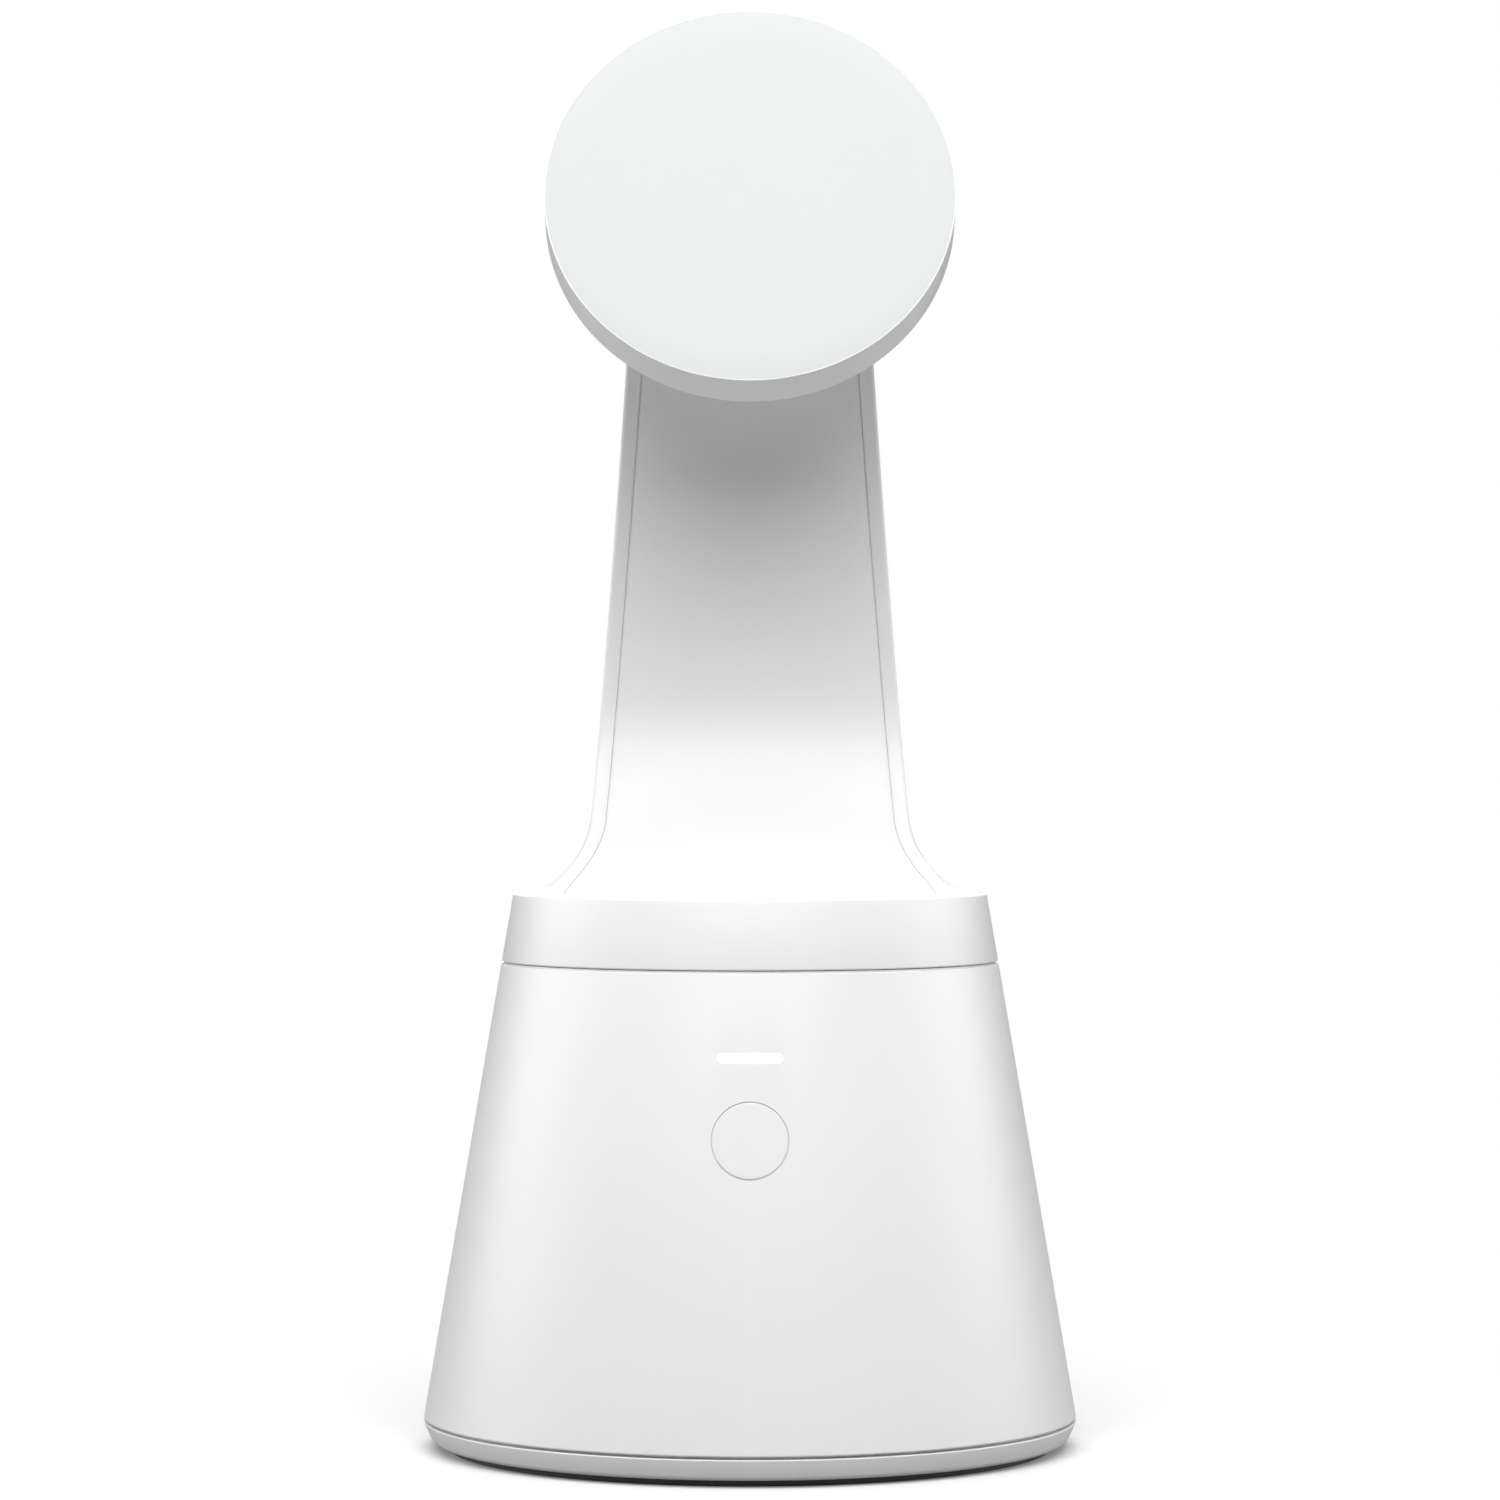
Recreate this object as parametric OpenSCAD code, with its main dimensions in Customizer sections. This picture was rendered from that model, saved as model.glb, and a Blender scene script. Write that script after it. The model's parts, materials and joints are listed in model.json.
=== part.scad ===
// Motorised magnetic phone mount: a cone-shaped base, a turret that turns on it,
// a curved arm and a magnetic disc that tilts. Millimetres, +Z up, front faces -Y,
// origin on the table under the middle of the base.

/* [Base] */
// Radius of the base at its bottom seam
base_r = 46.75; // [46.5:0.25:48]
// Radius lost for each millimetre of height
cone_slope = 0.1745; // [0.17:0.0005:0.178]
// Height of the seam between the bottom plate and the casing
bottom_seam_z = 5.4; // [5.2:0.1:5.6]
// Height of the seam under the turning collar
collar_seam_z = 69.3; // [69.2:0.1:69.6]
// Width of a visible seam
seam = 0.4; // [0.3:0.05:0.5]
// Thickness of the casing wall
wall = 2.4; // [2.2:0.1:2.6]
// Height of the rubber foot
foot_h = 1.4; // [1.2:0.1:1.4]

/* [Controls] */
// Height of the button's centre
button_z = 47.1; // [46:0.1:48]
// Radius of the button
button_r = 5.2; // [4.8:0.1:5.6]
// Travel of the button
button_travel = 0.5; // [0.3:0.1:0.5]
// Height of the light bar
light_z = 58.4; // [57.5:0.1:59]
// Length of the light bar
light_l = 9.1; // [8:0.1:10]
// Height of the light bar's window
light_w = 1.3; // [1:0.1:1.6]
// Height of the power socket's centre
inlet_z = 34.6; // [34.4:0.1:35]
// Radius of the power socket in the casing
inlet_r = 4.25; // [4:0.05:4.5]

/* [Turret and arm] */
// Height of the turret's deck
deck_z = 79.1; // [78.9:0.1:79.6]
// Place of the arm's face, behind the turning axis, where it stands upright
arm_face_y = 9; // [8.5:0.1:9.4]
// Height at which the arm's face stands upright
arm_face_z = 108; // [106:0.5:110]
// Radius of the arm's rounded tip
tip_r = 5.5; // [5.4:0.05:5.6]
// Radius of the flare from the arm's sides to the deck
side_fillet = 11; // [10:0.5:12]
// Lean of the arm's sides
side_taper = 4.63; // [4.2:0.01:5]
// Width of the border beside the front panel
border_w = 2.2; // [2:0.1:2.4]
// Thickness of the arm's walls and front panel
skin = 1.6; // [1.5:0.05:1.7]

/* [Head] */
// Radius of the disc
disc_r = 28.75; // [28.5:0.05:29]
// Thickness of the disc
disc_t = 7.65; // [7.6:0.05:7.8]
// Tilt of the disc at rest
disc_tilt = 21; // [18:0.5:24]
// Height of the hinge
hinge_z = 172.4; // [172:0.1:174]
// Place of the hinge in front of the turning axis
hinge_y = -9; // [-9.4:0.1:-8.8]
// Distance from the hinge to the disc's back
hinge_gap = 6.05; // [6:0.05:6.2]

/* [Drive] */
// Gear module
gear_m = 0.5; // [0.49:0.005:0.5]
// Teeth of the turret gear
main_teeth = 66; // [66]
// Teeth of the idler's large wheel
wheel_teeth = 36; // [36]
// Teeth of the idler's small wheel and of the motor pinion
pinion_teeth = 12; // [12]
// Direction of the motor from the turning axis
motor_dir = 20; // [16:1:24]

/* [Hidden] */
$fn = 96;

over = 1;                    // length by which a cut runs past a face
fit = 0.02;                  // play of a seated piece
run_fit = 0.05;              // radial play of a turning piece

// Base levels and radii
rim_z0 = 1;
rim_z1 = bottom_seam_z - seam / 2;
shell_z0 = rim_z1;
shell_z1 = collar_seam_z - seam / 2;
floor_z0 = foot_h;
floor_z1 = 4;
rim_foot_r = base_r - 2.35;
lip_r = base_r - 3.45;
foot_r0 = 39.7;
foot_r1 = 43.2;
cone_angle = atan(cone_slope);
column_r = 3.4;
columns = [for (a = [52, 128, 232, 308]) 36.2 * [cos(a), sin(a)]];
posts = [[34, 0], [-34, 0], [0, 29], [0, -29]];

// Batteries, lying along X
cell_r = 7.1;
cell_l = 49.2;
nub_l = 1.3;
cell_pitch = 15.2;
cell_z = 11.4;
bay = [57, 46.5];
bay_wall = 1.4;
bay_z = 20.2;
door_hole = [56, 45.8];
door_seat = [59.8, 49.2];
door_r = 38.4;
clearance = 0.3;

// Inner levels
ballast_z0 = 20.6;
ballast_z1 = 24;
board_z = 27;
board_t = 1.6;
board_top = board_z + board_t;
spacers = [[26, 18], [-26, 18], [26, -18], [-26, -18]];
chassis_z0 = 50;
chassis_z1 = 52.4;
chassis_r = 34.4;
lugs = [for (a = [25, 155, 205, 335]) 31.5 * [cos(a), sin(a)]];

// Parts behind the front wall, measured inwards from the casing's surface
board_depth = 9.5;
switch_h = 3.5;
light_up = (light_z - button_z) / cos(cone_angle);
front_posts = [[9.6, 4], [-9.6, 4]];

// Ball bearing under the turret
bearing_z0 = shell_z1 - 7;
bearing_z1 = shell_z1;
bearing_r = [10, 12, 14, 16];
ball_pitch_r = 13;
ball_r = 1.72;
balls = 14;

// Gear train
main_r = gear_m * main_teeth / 2;
wheel_r = gear_m * wheel_teeth / 2;
pinion_r = gear_m * pinion_teeth / 2;
idler_dist = main_r + pinion_r;
motor_dist = 15;
mesh_dist = wheel_r + pinion_r;
idler_dir = motor_dir + acos((pow(idler_dist, 2) + pow(motor_dist, 2) - pow(mesh_dist, 2))
                             / (2 * idler_dist * motor_dist));
idler_at = idler_dist * [cos(idler_dir), sin(idler_dir)];
motor_at = motor_dist * [cos(motor_dir), sin(motor_dir)];
mesh_dir = atan2(motor_at.y - idler_at.y, motor_at.x - idler_at.x);
main_gear_z = [57, 60.2];
wheel_z = [53, 55.2];
motor_r = 12;
motor_z0 = 36;

// Turret and arm
collar_z0 = collar_seam_z + seam / 2;
deck_r = base_r - cone_slope * (deck_z - bottom_seam_z);
deck_t = 3.1;
hub_z0 = 54.5;
flange_z0 = shell_z1 + 0.5;
flange_z1 = flange_z0 + 2.4;
turret_bosses = [for (a = [10, 170, 240, 300]) 24.5 * [cos(a), sin(a)]];
spine_bolts = [[9, 3.5], [-9, 3.5], [9, 21.5], [-9, 21.5]];
arm_t = 2 * tip_r;
root_r = arm_face_z - deck_z;
hinge = [hinge_y, hinge_z];
hinge_back = arm_face_y - hinge_y;
hinge_up = hinge_z - arm_face_z;
sweep_r = (pow(hinge_back, 2) + pow(hinge_up, 2) - pow(tip_r, 2)) / (2 * (hinge_back + tip_r));
sweep_c = [arm_face_y - sweep_r, arm_face_z];
sweep_end = atan2(hinge_up, sweep_r - hinge_back);
back_fillet = deck_r - arm_face_y - arm_t;
tip_z = hinge_z + tip_r;
tip_corner = 7;
panel_top_z = 163;
seam_gap = 0.15;
spine_x = 12.5;
spine_inset = 1.85;

// Hinge
knuckle_x = 6.6;
fork_x = 7.4;
washer_t = 0.4;
pin_r = 1.5;
bush_r = 2.6;
bush_end = 11.1;

// Head, measured along the disc's axis from its face
pad_t = 1.2;
pad_r = disc_r - 0.85;
hollow_r = disc_r - 1.85;
back_wall = 1.6;

function cone_r(z) = base_r - cone_slope * (z - bottom_seam_z);

function arc(c, r, a0, a1, n) =
    [for (i = [0:n]) c + r * [cos(a0 + (a1 - a0) * i / n), sin(a0 + (a1 - a0) * i / n)]];

function flip(points) = [for (i = [len(points) - 1:-1:0]) [-points[i].x, points[i].y]];

// A solid of the casing's cone between two heights
module cone_solid(z0, z1, inset = 0) {
    translate([0, 0, z0])
        cylinder(h = z1 - z0, r1 = cone_r(z0) - inset, r2 = cone_r(z1) - inset);
}

// Cylinder between two heights at a place
module post(at, z0, z1, r) {
    translate([at.x, at.y, z0])
        cylinder(h = z1 - z0, r = r);
}

module ring(z0, z1, r0, r1) {
    difference() {
        post([0, 0], z0, z1, r1);
        post([0, 0], z0 - over, z1 + over, r0);
    }
}

module box(size_x, size_y, z0, z1, at = [0, 0]) {
    translate([at.x - size_x / 2, at.y - size_y / 2, z0])
        cube([size_x, size_y, z1 - z0]);
}

// Frame on the front of the casing: +Z points out of the wall
module on_front(z) {
    translate([0, -cone_r(z), z])
        rotate([90 - cone_angle, 0, 0])
            children();
}

// Frame of the disc: +Z points out of its face, the origin is the face's centre
module on_disc() {
    out = disc_t + hinge_gap;
    translate([0, hinge_y - out * cos(disc_tilt), hinge_z + out * sin(disc_tilt)])
        rotate([90 - disc_tilt, 0, 0])
            children();
}

// Screw with its head's underside at z 0, its shank pointing down
module screw(r, length, head_r, head_h) {
    difference() {
        union() {
            translate([0, 0, -length])
                cylinder(h = length + head_h / 2, r = r);
            cylinder(h = head_h, r = head_r);
        }
        translate([0, 0, head_h * 0.5])
            cylinder(h = head_h, r = head_r * 0.42, $fn = 6);
    }
}

// Countersunk screw with the top of its head at z 0
module flat_screw(r, length, head_r) {
    difference() {
        union() {
            translate([0, 0, -length])
                cylinder(h = length, r = r);
            translate([0, 0, r - head_r])
                cylinder(h = head_r - r, r1 = r, r2 = head_r);
        }
        translate([0, 0, -0.7])
            cylinder(h = over + 0.7, r = head_r * 0.4, $fn = 6);
    }
}

// Tooth outline point at radius r on one flank of an involute tooth
function flank(r, rb, half) =
    let (rr = max(r, rb), t = sqrt(pow(rr / rb, 2) - 1),
         turn = half - (t * 180 / PI - atan(t)))
    r * [cos(turn), sin(turn)];

// Spur gear with a tooth on +X
module spur_gear(teeth, z0, z1, bore) {
    r = gear_m * teeth / 2;
    rb = r * cos(20);
    tip = r + 0.9 * gear_m;
    root = r - 1.35 * gear_m;
    tp = sqrt(pow(r / rb, 2) - 1);
    thin = 0.1 / r * 180 / PI;
    half = 90 / teeth - thin + tp * 180 / PI - atan(tp);
    radii = [root, max(rb, root + 0.05), (rb + tip) / 2, tip];
    side = [for (q = radii) flank(q, rb, half)];
    tooth = concat([for (i = [0:3]) [side[i].x, -side[i].y]], [for (i = [3:-1:0]) side[i]]);
    difference() {
        translate([0, 0, z0])
            linear_extrude(height = z1 - z0)
                polygon([for (k = [0:teeth - 1], p = tooth)
                    let (a = 360 * k / teeth)
                    [p.x * cos(a) - p.y * sin(a), p.x * sin(a) + p.y * cos(a)]]);
        post([0, 0], z0 - over, z1 + over, bore);
    }
}

// Tube of round section swept along a list of points that run mainly along X
module coil(points, r, sides) {
    n = len(points);
    ring_points = [for (i = [0:n - 1])
        let (d = points[min(i + 1, n - 1)] - points[max(i - 1, 0)],
             u = cross(d, [1, 0, 0]) / norm(cross(d, [1, 0, 0])),
             v = cross(d, u) / norm(d))
        for (k = [0:sides - 1]) points[i] + r * (cos(360 * k / sides) * u + sin(360 * k / sides) * v)];
    walls = [for (i = [0:n - 2], k = [0:sides - 1])
        let (a = i * sides + k, b = i * sides + (k + 1) % sides)
        each [[a, b, b + sides], [a, b + sides, a + sides]]];
    start = [for (k = [sides - 1:-1:0]) k];
    end = [for (k = [0:sides - 1]) (n - 1) * sides + k];
    polyhedron(points = ring_points, faces = concat(walls, [start], [end]));
}

// ---- Arm outlines ----

// Front curve of the arm in side view, moved into the arm by d
function arm_front(d) = concat(
    arc([arm_face_y - root_r, arm_face_z], root_r + d, -90, 0, 14),
    arc(sweep_c, sweep_r + d, sweep_end / 12, sweep_end, 11));

// Back curve of the arm in side view, from the tip down, moved into the arm by d
function arm_back(d) =
    let (edge = 180 + asin(back_fillet / (back_fillet + d)),
         c = [deck_r, deck_z + back_fillet],
         foot = c + (back_fillet + d) * [cos(edge), sin(edge)])
    concat(arc(sweep_c, sweep_r + arm_t - d, sweep_end, 0, 12),
           arc(c, back_fillet + d, 180, edge, 10),
           [[foot.x, deck_z - 8]]);

// Side view of the arm down to below the deck
module arm_profile(front, back) {
    polygon(concat(
        [[-deck_r - 5, deck_z - 8], [-deck_r - 5, deck_z - front]],
        arm_front(front),
        arc(hinge, tip_r - max(front, 0), sweep_end + 180, sweep_end + 90, 8),
        arc(hinge, tip_r - back, sweep_end + 80, sweep_end + 8, 7),
        arm_back(back)));
}

// Front view of the arm, moved into the arm by d
module arm_outline(d) {
    c = [deck_r, deck_z + side_fillet];
    r = side_fillet + d;
    edge = 180 + asin(side_fillet / r);
    touch = c + side_fillet * [-cos(side_taper), -sin(side_taper)];
    corner_z = tip_z - tip_corner;
    corner_x = touch.x - (corner_z - touch.y) * tan(side_taper) - tip_corner / cos(side_taper);
    right = concat(
        [[c.x + r * cos(edge), deck_z - 8]],
        arc(c, r, edge, 180 + side_taper, 8),
        arc([corner_x, corner_z], tip_corner - d, side_taper, 90, 8));
    polygon(concat(right, flip(right)));
}

module arm_solid(side, front, back, limit_r = deck_r) {
    intersection() {
        rotate([90, 0, 90])
            linear_extrude(height = 4 * deck_r, center = true)
                arm_profile(front, back);
        rotate([90, 0, 0])
            linear_extrude(height = 4 * deck_r, center = true)
                arm_outline(side);
        post([0, 0], deck_z - 20, tip_z + 20, limit_r);
    }
}

// ---- Base ----

module base_shell() {
    lip_z = bearing_z0 - 1.2;
    color("white")
    difference() {
        union() {
            difference() {
                cone_solid(shell_z0, shell_z1);
                cone_solid(shell_z0 - over, shell_z1 - wall, wall);
            }
            post([0, 0], lip_z, shell_z1 - wall / 2, bearing_r[3] + 1.8);
            for (c = columns) {
                post(c, floor_z1, ballast_z0 - 1, column_r);
                intersection() {
                    rotate([0, 0, atan2(c.y, c.x)])
                        box(9, 2, shell_z0 + 3.4, ballast_z0 - 1, [norm(c) + 4.5, 0]);
                    cone_solid(shell_z0, shell_z1, wall / 2);
                }
            }
            for (c = lugs) {
                post(c, chassis_z1, chassis_z1 + 4.6, 3.2);
                intersection() {
                    rotate([0, 0, atan2(c.y, c.x)])
                        box(6, 2.4, chassis_z1, chassis_z1 + 4.6, [norm(c) + 3, 0]);
                    cone_solid(shell_z0, shell_z1, wall / 2);
                }
            }
            on_front(button_z)
                for (p = front_posts)
                    translate([p.x, p.y, -board_depth])
                        cylinder(h = board_depth - wall, r = 2.2);
            intersection() {
                translate([0, cone_r(inlet_z) - 4, inlet_z])
                    rotate([-90, 0, 0])
                        cylinder(h = 4, r = inlet_r + 1.75);
                cone_solid(shell_z0, shell_z1, wall / 2);
            }
        }
        difference() {
            translate([0, 0, shell_z0 - over])
                cylinder(h = over + seam, r = base_r + 1);
            translate([0, 0, shell_z0 - 2 * over])
                cylinder(h = 4 * over, r = cone_r(shell_z0) - 1.1);
        }
        post([0, 0], bearing_z0, bearing_z1 + over, bearing_r[3] + fit);
        post([0, 0], lip_z - over, bearing_z1, bearing_r[2] + 0.6);
        on_front(button_z)
            translate([0, 0, -5])
                cylinder(h = 8, r = button_r + clearance);
        on_front(light_z)
            translate([-light_l / 2 - run_fit, -light_w / 2 - run_fit, -5])
                cube([light_l + 2 * run_fit, light_w + 2 * run_fit, 8]);
        translate([0, cone_r(inlet_z) - 5, inlet_z])
            rotate([-90, 0, 0])
                cylinder(h = 8, r = inlet_r);
        for (c = columns)
            post(c, floor_z1 - over, 14.5, 1.2);
        for (c = lugs)
            post(c, chassis_z1 - over, chassis_z1 + 4, 1.15);
        on_front(button_z)
            for (p = front_posts)
                translate([p.x, p.y, -board_depth - over])
                    cylinder(h = over + 4.5, r = 0.95);
    }
}

module bottom_plate() {
    color("white")
    difference() {
        union() {
            translate([0, 0, rim_z0])
                cylinder(h = rim_z1 - rim_z0, r1 = rim_foot_r, r2 = base_r);
            ring(floor_z1 - over, rim_z1 + 2.8, lip_r - 1.3, lip_r);
        }
        post([0, 0], floor_z1, rim_z1 + over, lip_r - 1.3);
        post([0, 0], rim_z0 - over, floor_z0, foot_r1 + 0.4);
        translate([0, 0, floor_z0 - over])
            ring(0, over + 0.8, foot_r0 + 1.1, foot_r1 - 1.1);
        box(door_hole.x, door_hole.y, floor_z0 - over, floor_z1 + over);
        intersection() {
            box(door_seat.x, door_seat.y, floor_z0 - over, floor_z1 - 0.8);
            post([0, 0], floor_z0 - over, floor_z1, door_r + clearance);
        }
        for (c = columns) {
            post(c, floor_z0 - over, floor_z0 + 1.4, 2.8);
            post(c, floor_z0, floor_z1 + over, 1.3);
        }
    }
    color("white")
    difference() {
        for (p = posts)
            post(p, floor_z1, ballast_z0, 2.9);
        for (p = posts)
            post(p, floor_z1 + 9, ballast_z0 + over, 1.15);
    }
}

module foot_ring() {
    color("dimgray") {
        difference() {
            union() {
                ring(0, foot_h, foot_r0, foot_r1);
                ring(foot_h - 0.1, foot_h + 0.75, foot_r0 + 1.15, foot_r1 - 1.15);
            }
            for (k = [0:11])
                rotate([0, 0, 30 * k + 15])
                    box(0.8, 8, -over, 0.25, [0, (foot_r0 + foot_r1) / 2]);
        }
    }
}

module ballast_plate() {
    color("silver")
    difference() {
        post([0, 0], ballast_z0, ballast_z1, 38);
        post([0, 0], ballast_z0 - over, ballast_z1 + over, 8);
        for (p = posts)
            post(p, ballast_z0 - over, ballast_z1 + over, 1.3);
        for (p = spacers)
            post(p, ballast_z0 - over, ballast_z1 + over, 1.05);
        for (y = [-6, 6])
            post([-31.8, y], ballast_z0 - over, ballast_z1 + over, 1.4);
    }
}

module battery_box() {
    color("dimgray") {
        difference() {
            box(bay.x + 2 * bay_wall, bay.y + 2 * bay_wall, floor_z1, bay_z);
            box(bay.x, bay.y, floor_z1 - over, bay_z - 1.2);
            for (x = [-18, 0, 18])
                box(9, 30, bay_z - 1.2 - over, bay_z + over, [x, 0]);
        }
        for (s = [-1, 1])
            box(bay.x, 0.7, 14, bay_z - 1.1, [0, s * cell_pitch / 2]);
    }
}

// One dry cell along X; every second one is turned round
module battery(index) {
    way = index % 2 == 0 ? 1 : -1;
    translate([0, (index - 1) * cell_pitch, cell_z])
        scale([way, 1, 1])
            translate([-bay.x / 2 + 0.45, 0, 0])
                rotate([0, 90, 0]) {
                    cylinder(h = nub_l + over, r = 2.6);
                    translate([0, 0, nub_l])
                        cylinder(h = 0.4, r = cell_r - 0.6);
                    translate([0, 0, nub_l + 0.4])
                        cylinder(h = cell_l - 0.8, r = cell_r);
                    translate([0, 0, nub_l + cell_l - 0.6])
                        cylinder(h = 0.6, r = cell_r - 1);
                }
}

module battery_1() {
    color("steelblue")
        battery(0);
}

module battery_2() {
    color("steelblue")
        battery(1);
}

module battery_3() {
    color("steelblue")
        battery(2);
}

module battery_springs() {
    turns = 3.5;
    steps = 42;
    start_x = -bay.x / 2 + 0.45 + nub_l + cell_l + 0.45;
    end_x = bay.x / 2 - 0.85;
    color("silver")
        for (index = [0:2])
            translate([0, (index - 1) * cell_pitch, cell_z])
                rotate([0, 0, index % 2 == 0 ? 0 : 180])
                    coil([for (i = [0:steps])
                        let (t = i / steps, a = 360 * turns * t, r = 2.4 + 3 * t)
                        [start_x + (end_x - start_x) * t, r * cos(a), r * sin(a)]], 0.38, 5);
}

module battery_plates() {
    color("silver")
        for (s = [-1, 1], index = [0:2])
            translate([s * (bay.x / 2 - 0.2), (index - 1) * cell_pitch, cell_z])
                cube([0.4, 12, 12], center = true);
}

module chassis() {
    color("lightgray")
    difference() {
        intersection() {
            post([0, 0], chassis_z0, chassis_z1, chassis_r);
            box(3 * chassis_r, 2 * chassis_r, chassis_z0 - over, chassis_z1 + over, [0, chassis_r - 24.5]);
        }
        post(motor_at, chassis_z0 - over, chassis_z1 + over, 2.5);
        post(idler_at, chassis_z0 - over, chassis_z1 + over, 1 + fit);
        for (c = lugs)
            post(c, chassis_z0 - over, chassis_z1 + over, 1.3);
        for (p = motor_bolts())
            post(p, chassis_z0 - over, chassis_z1 + over, 1);
        for (x = [-16, 0])
            box(10, 12, chassis_z0 - over, chassis_z1 + over, [x, -14]);
        box(12, 14, chassis_z0 - over, chassis_z1 + over, [-18, 4]);
        box(9, 6, chassis_z0 - over, chassis_z1 + over, [-8, 27]);
    }
}

function motor_bolts() = [for (s = [-1, 1])
    motor_at + 8.5 * s * [cos(mesh_dir + 90), sin(mesh_dir + 90)]];

module motor_can() {
    color("silver")
    difference() {
        union() {
            post(motor_at, motor_z0, chassis_z0 - 0.6, motor_r);
            post(motor_at, motor_z0, chassis_z0, motor_r - 1);
        }
        post(motor_at, motor_z0 + 1.2, chassis_z0 - 1.4, motor_r - 1);
        post(motor_at, motor_z0 + 0.4, chassis_z0 + over, 1 + run_fit);
        for (p = motor_bolts())
            post(p, chassis_z0 - 1.4 - over, chassis_z0 + over, 0.95);
    }
}

module motor_windings() {
    color("peru")
    difference() {
        post(motor_at, motor_z0 + 3, chassis_z0 - 3.4, motor_r - 1.05);
        post(motor_at, motor_z0 + 2, chassis_z0 - 2, motor_r - 3.8);
        for (k = [0:8])
            translate([motor_at.x, motor_at.y, 0])
                rotate([0, 0, 40 * k])
                    box(5, 1.4, motor_z0 + 2, chassis_z0 - 2, [motor_r - 3.4, 0]);
    }
}

module idler_axle() {
    color("silver") {
        post(idler_at, chassis_z0 + 0.4, 61.4, 1);
        post(idler_at, chassis_z1, wheel_z[0] - 0.2, 1.8);
        post(idler_at, 60.7, 61.2, 1.5);
    }
}

module main_board() {
    color("darkgreen")
    difference() {
        post([0, 0], board_z, board_top, 36);
        for (p = spacers)
            post(p, board_z - over, board_top + over, 1.2);
        for (s = [-1, 1])
            box(8, 30, board_z - over, board_top + over, [s * 38, 0]);
    }
}

module board_parts() {
    color("dimgray") {
        box(10, 10, board_top, board_top + 1.2, [-14, -4]);
        box(6, 6, board_top, board_top + 1, [4, -12]);
        box(5, 4, board_top, board_top + 1.6, [14, -14]);
        box(7, 7, board_top, board_top + 3.2, [-10, 22]);
        box(10, 3, board_top, board_top + 2, [0, -27]);
        box(8, 4, board_top, board_top + 3, [-29, 6]);
        for (p = [[22, -8], [24, 0], [-20, 12]])
            post(p, board_top, board_top + 5.6, 3);
        for (k = [0:5])
            box(1.6, 0.8, board_top, board_top + 0.8, [-4 + 2.6 * k, -20]);
    }
    color("dimgray")
        on_front(button_z)
            translate([-5, -8.5, -board_depth - board_t - 2])
                cube([10, 3, 2]);
}

module radio_module() {
    color("silver") {
        box(12, 16, board_top, board_top + 0.8, [-15.5, -17.6]);
        box(10.6, 11, board_top + 0.8, board_top + 2.6, [-15.5, -16.1]);
    }
}

module front_board() {
    color("darkgreen")
    on_front(button_z)
    difference() {
        translate([-12, -9, -board_depth - board_t])
            cube([24, 26, board_t]);
        for (p = front_posts)
            translate([p.x, p.y, -board_depth - board_t - over])
                cylinder(h = board_t + 2 * over, r = 1.1);
    }
}

module tact_switch() {
    color("black")
    on_front(button_z)
    difference() {
        translate([-3, -3, -board_depth])
            cube([6, 6, switch_h]);
        translate([0, 0, -board_depth + 1.2])
            cylinder(h = switch_h, r = 1.85);
    }
}

module status_leds() {
    color("white")
    on_front(button_z)
        for (k = [-1:1])
            translate([3 * k - 0.8, light_up - 0.5, -board_depth])
                cube([1.6, 1, 0.8]);
}

module light_bar() {
    color("white")
    intersection() {
        on_front(light_z)
            translate([-light_l / 2, -light_w / 2, -board_depth + 1.1])
                cube([light_l, light_w, board_depth + over]);
        cone_solid(shell_z0, shell_z1);
    }
}

module power_inlet() {
    face_y = cone_r(inlet_z) - 4.15;
    color("dimgray") {
        difference() {
            translate([-4.5, face_y - 13, board_top])
                cube([9, 13, inlet_z - board_top + 5]);
            translate([0, face_y - 10, inlet_z])
                rotate([-90, 0, 0])
                    cylinder(h = 12, r = 2.85);
        }
        translate([0, face_y - 11, inlet_z])
            rotate([-90, 0, 0])
                cylinder(h = 10, r = 1);
    }
}

module race(r0, r1) {
    difference() {
        ring(bearing_z0, bearing_z1, r0, r1);
        translate([0, 0, (bearing_z0 + bearing_z1) / 2])
            rotate_extrude()
                translate([ball_pitch_r, 0])
                    circle(r = ball_r + 0.07, $fn = 48);
    }
}

module bearing_outer_ring() {
    color("silver")
        race(bearing_r[2], bearing_r[3]);
}

module bearing_inner_ring() {
    color("silver")
        race(bearing_r[0], bearing_r[1]);
}

module at_balls() {
    for (k = [0:balls - 1])
        rotate([0, 0, 360 * k / balls])
            translate([ball_pitch_r, 0, (bearing_z0 + bearing_z1) / 2])
                children();
}

module bearing_balls() {
    color("silver")
        at_balls()
            sphere(r = ball_r, $fn = 48);
}

module bearing_cage() {
    color("wheat")
    difference() {
        ring(bearing_z0 + 1, bearing_z1 - 1, ball_pitch_r - 0.5, ball_pitch_r + 0.5);
        at_balls()
            sphere(r = ball_r + 0.1, $fn = 48);
    }
}

module sensor_board() {
    color("darkgreen")
        post([0, 0], chassis_z1, chassis_z1 + 0.8, 4.2);
    color("black")
        box(3, 3, chassis_z1 + 0.8, chassis_z1 + 1.6);
}

module internal_leads() {
    color("firebrick")
        for (y = [-6, 6]) {
            post([-31.8, y], 8, board_z, 0.6);
            translate([-31.8, y, 8])
                sphere(r = 0.6, $fn = 24);
            translate([-31.8, y, 8])
                rotate([0, 90, 0])
                    cylinder(h = 31.8 - bay.x / 2 - bay_wall, r = 0.6);
        }
    color("firebrick")
        for (s = [-1, 1])
            post(motor_at + [4 * s, 0], board_top, motor_z0, 0.5);
}

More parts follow.
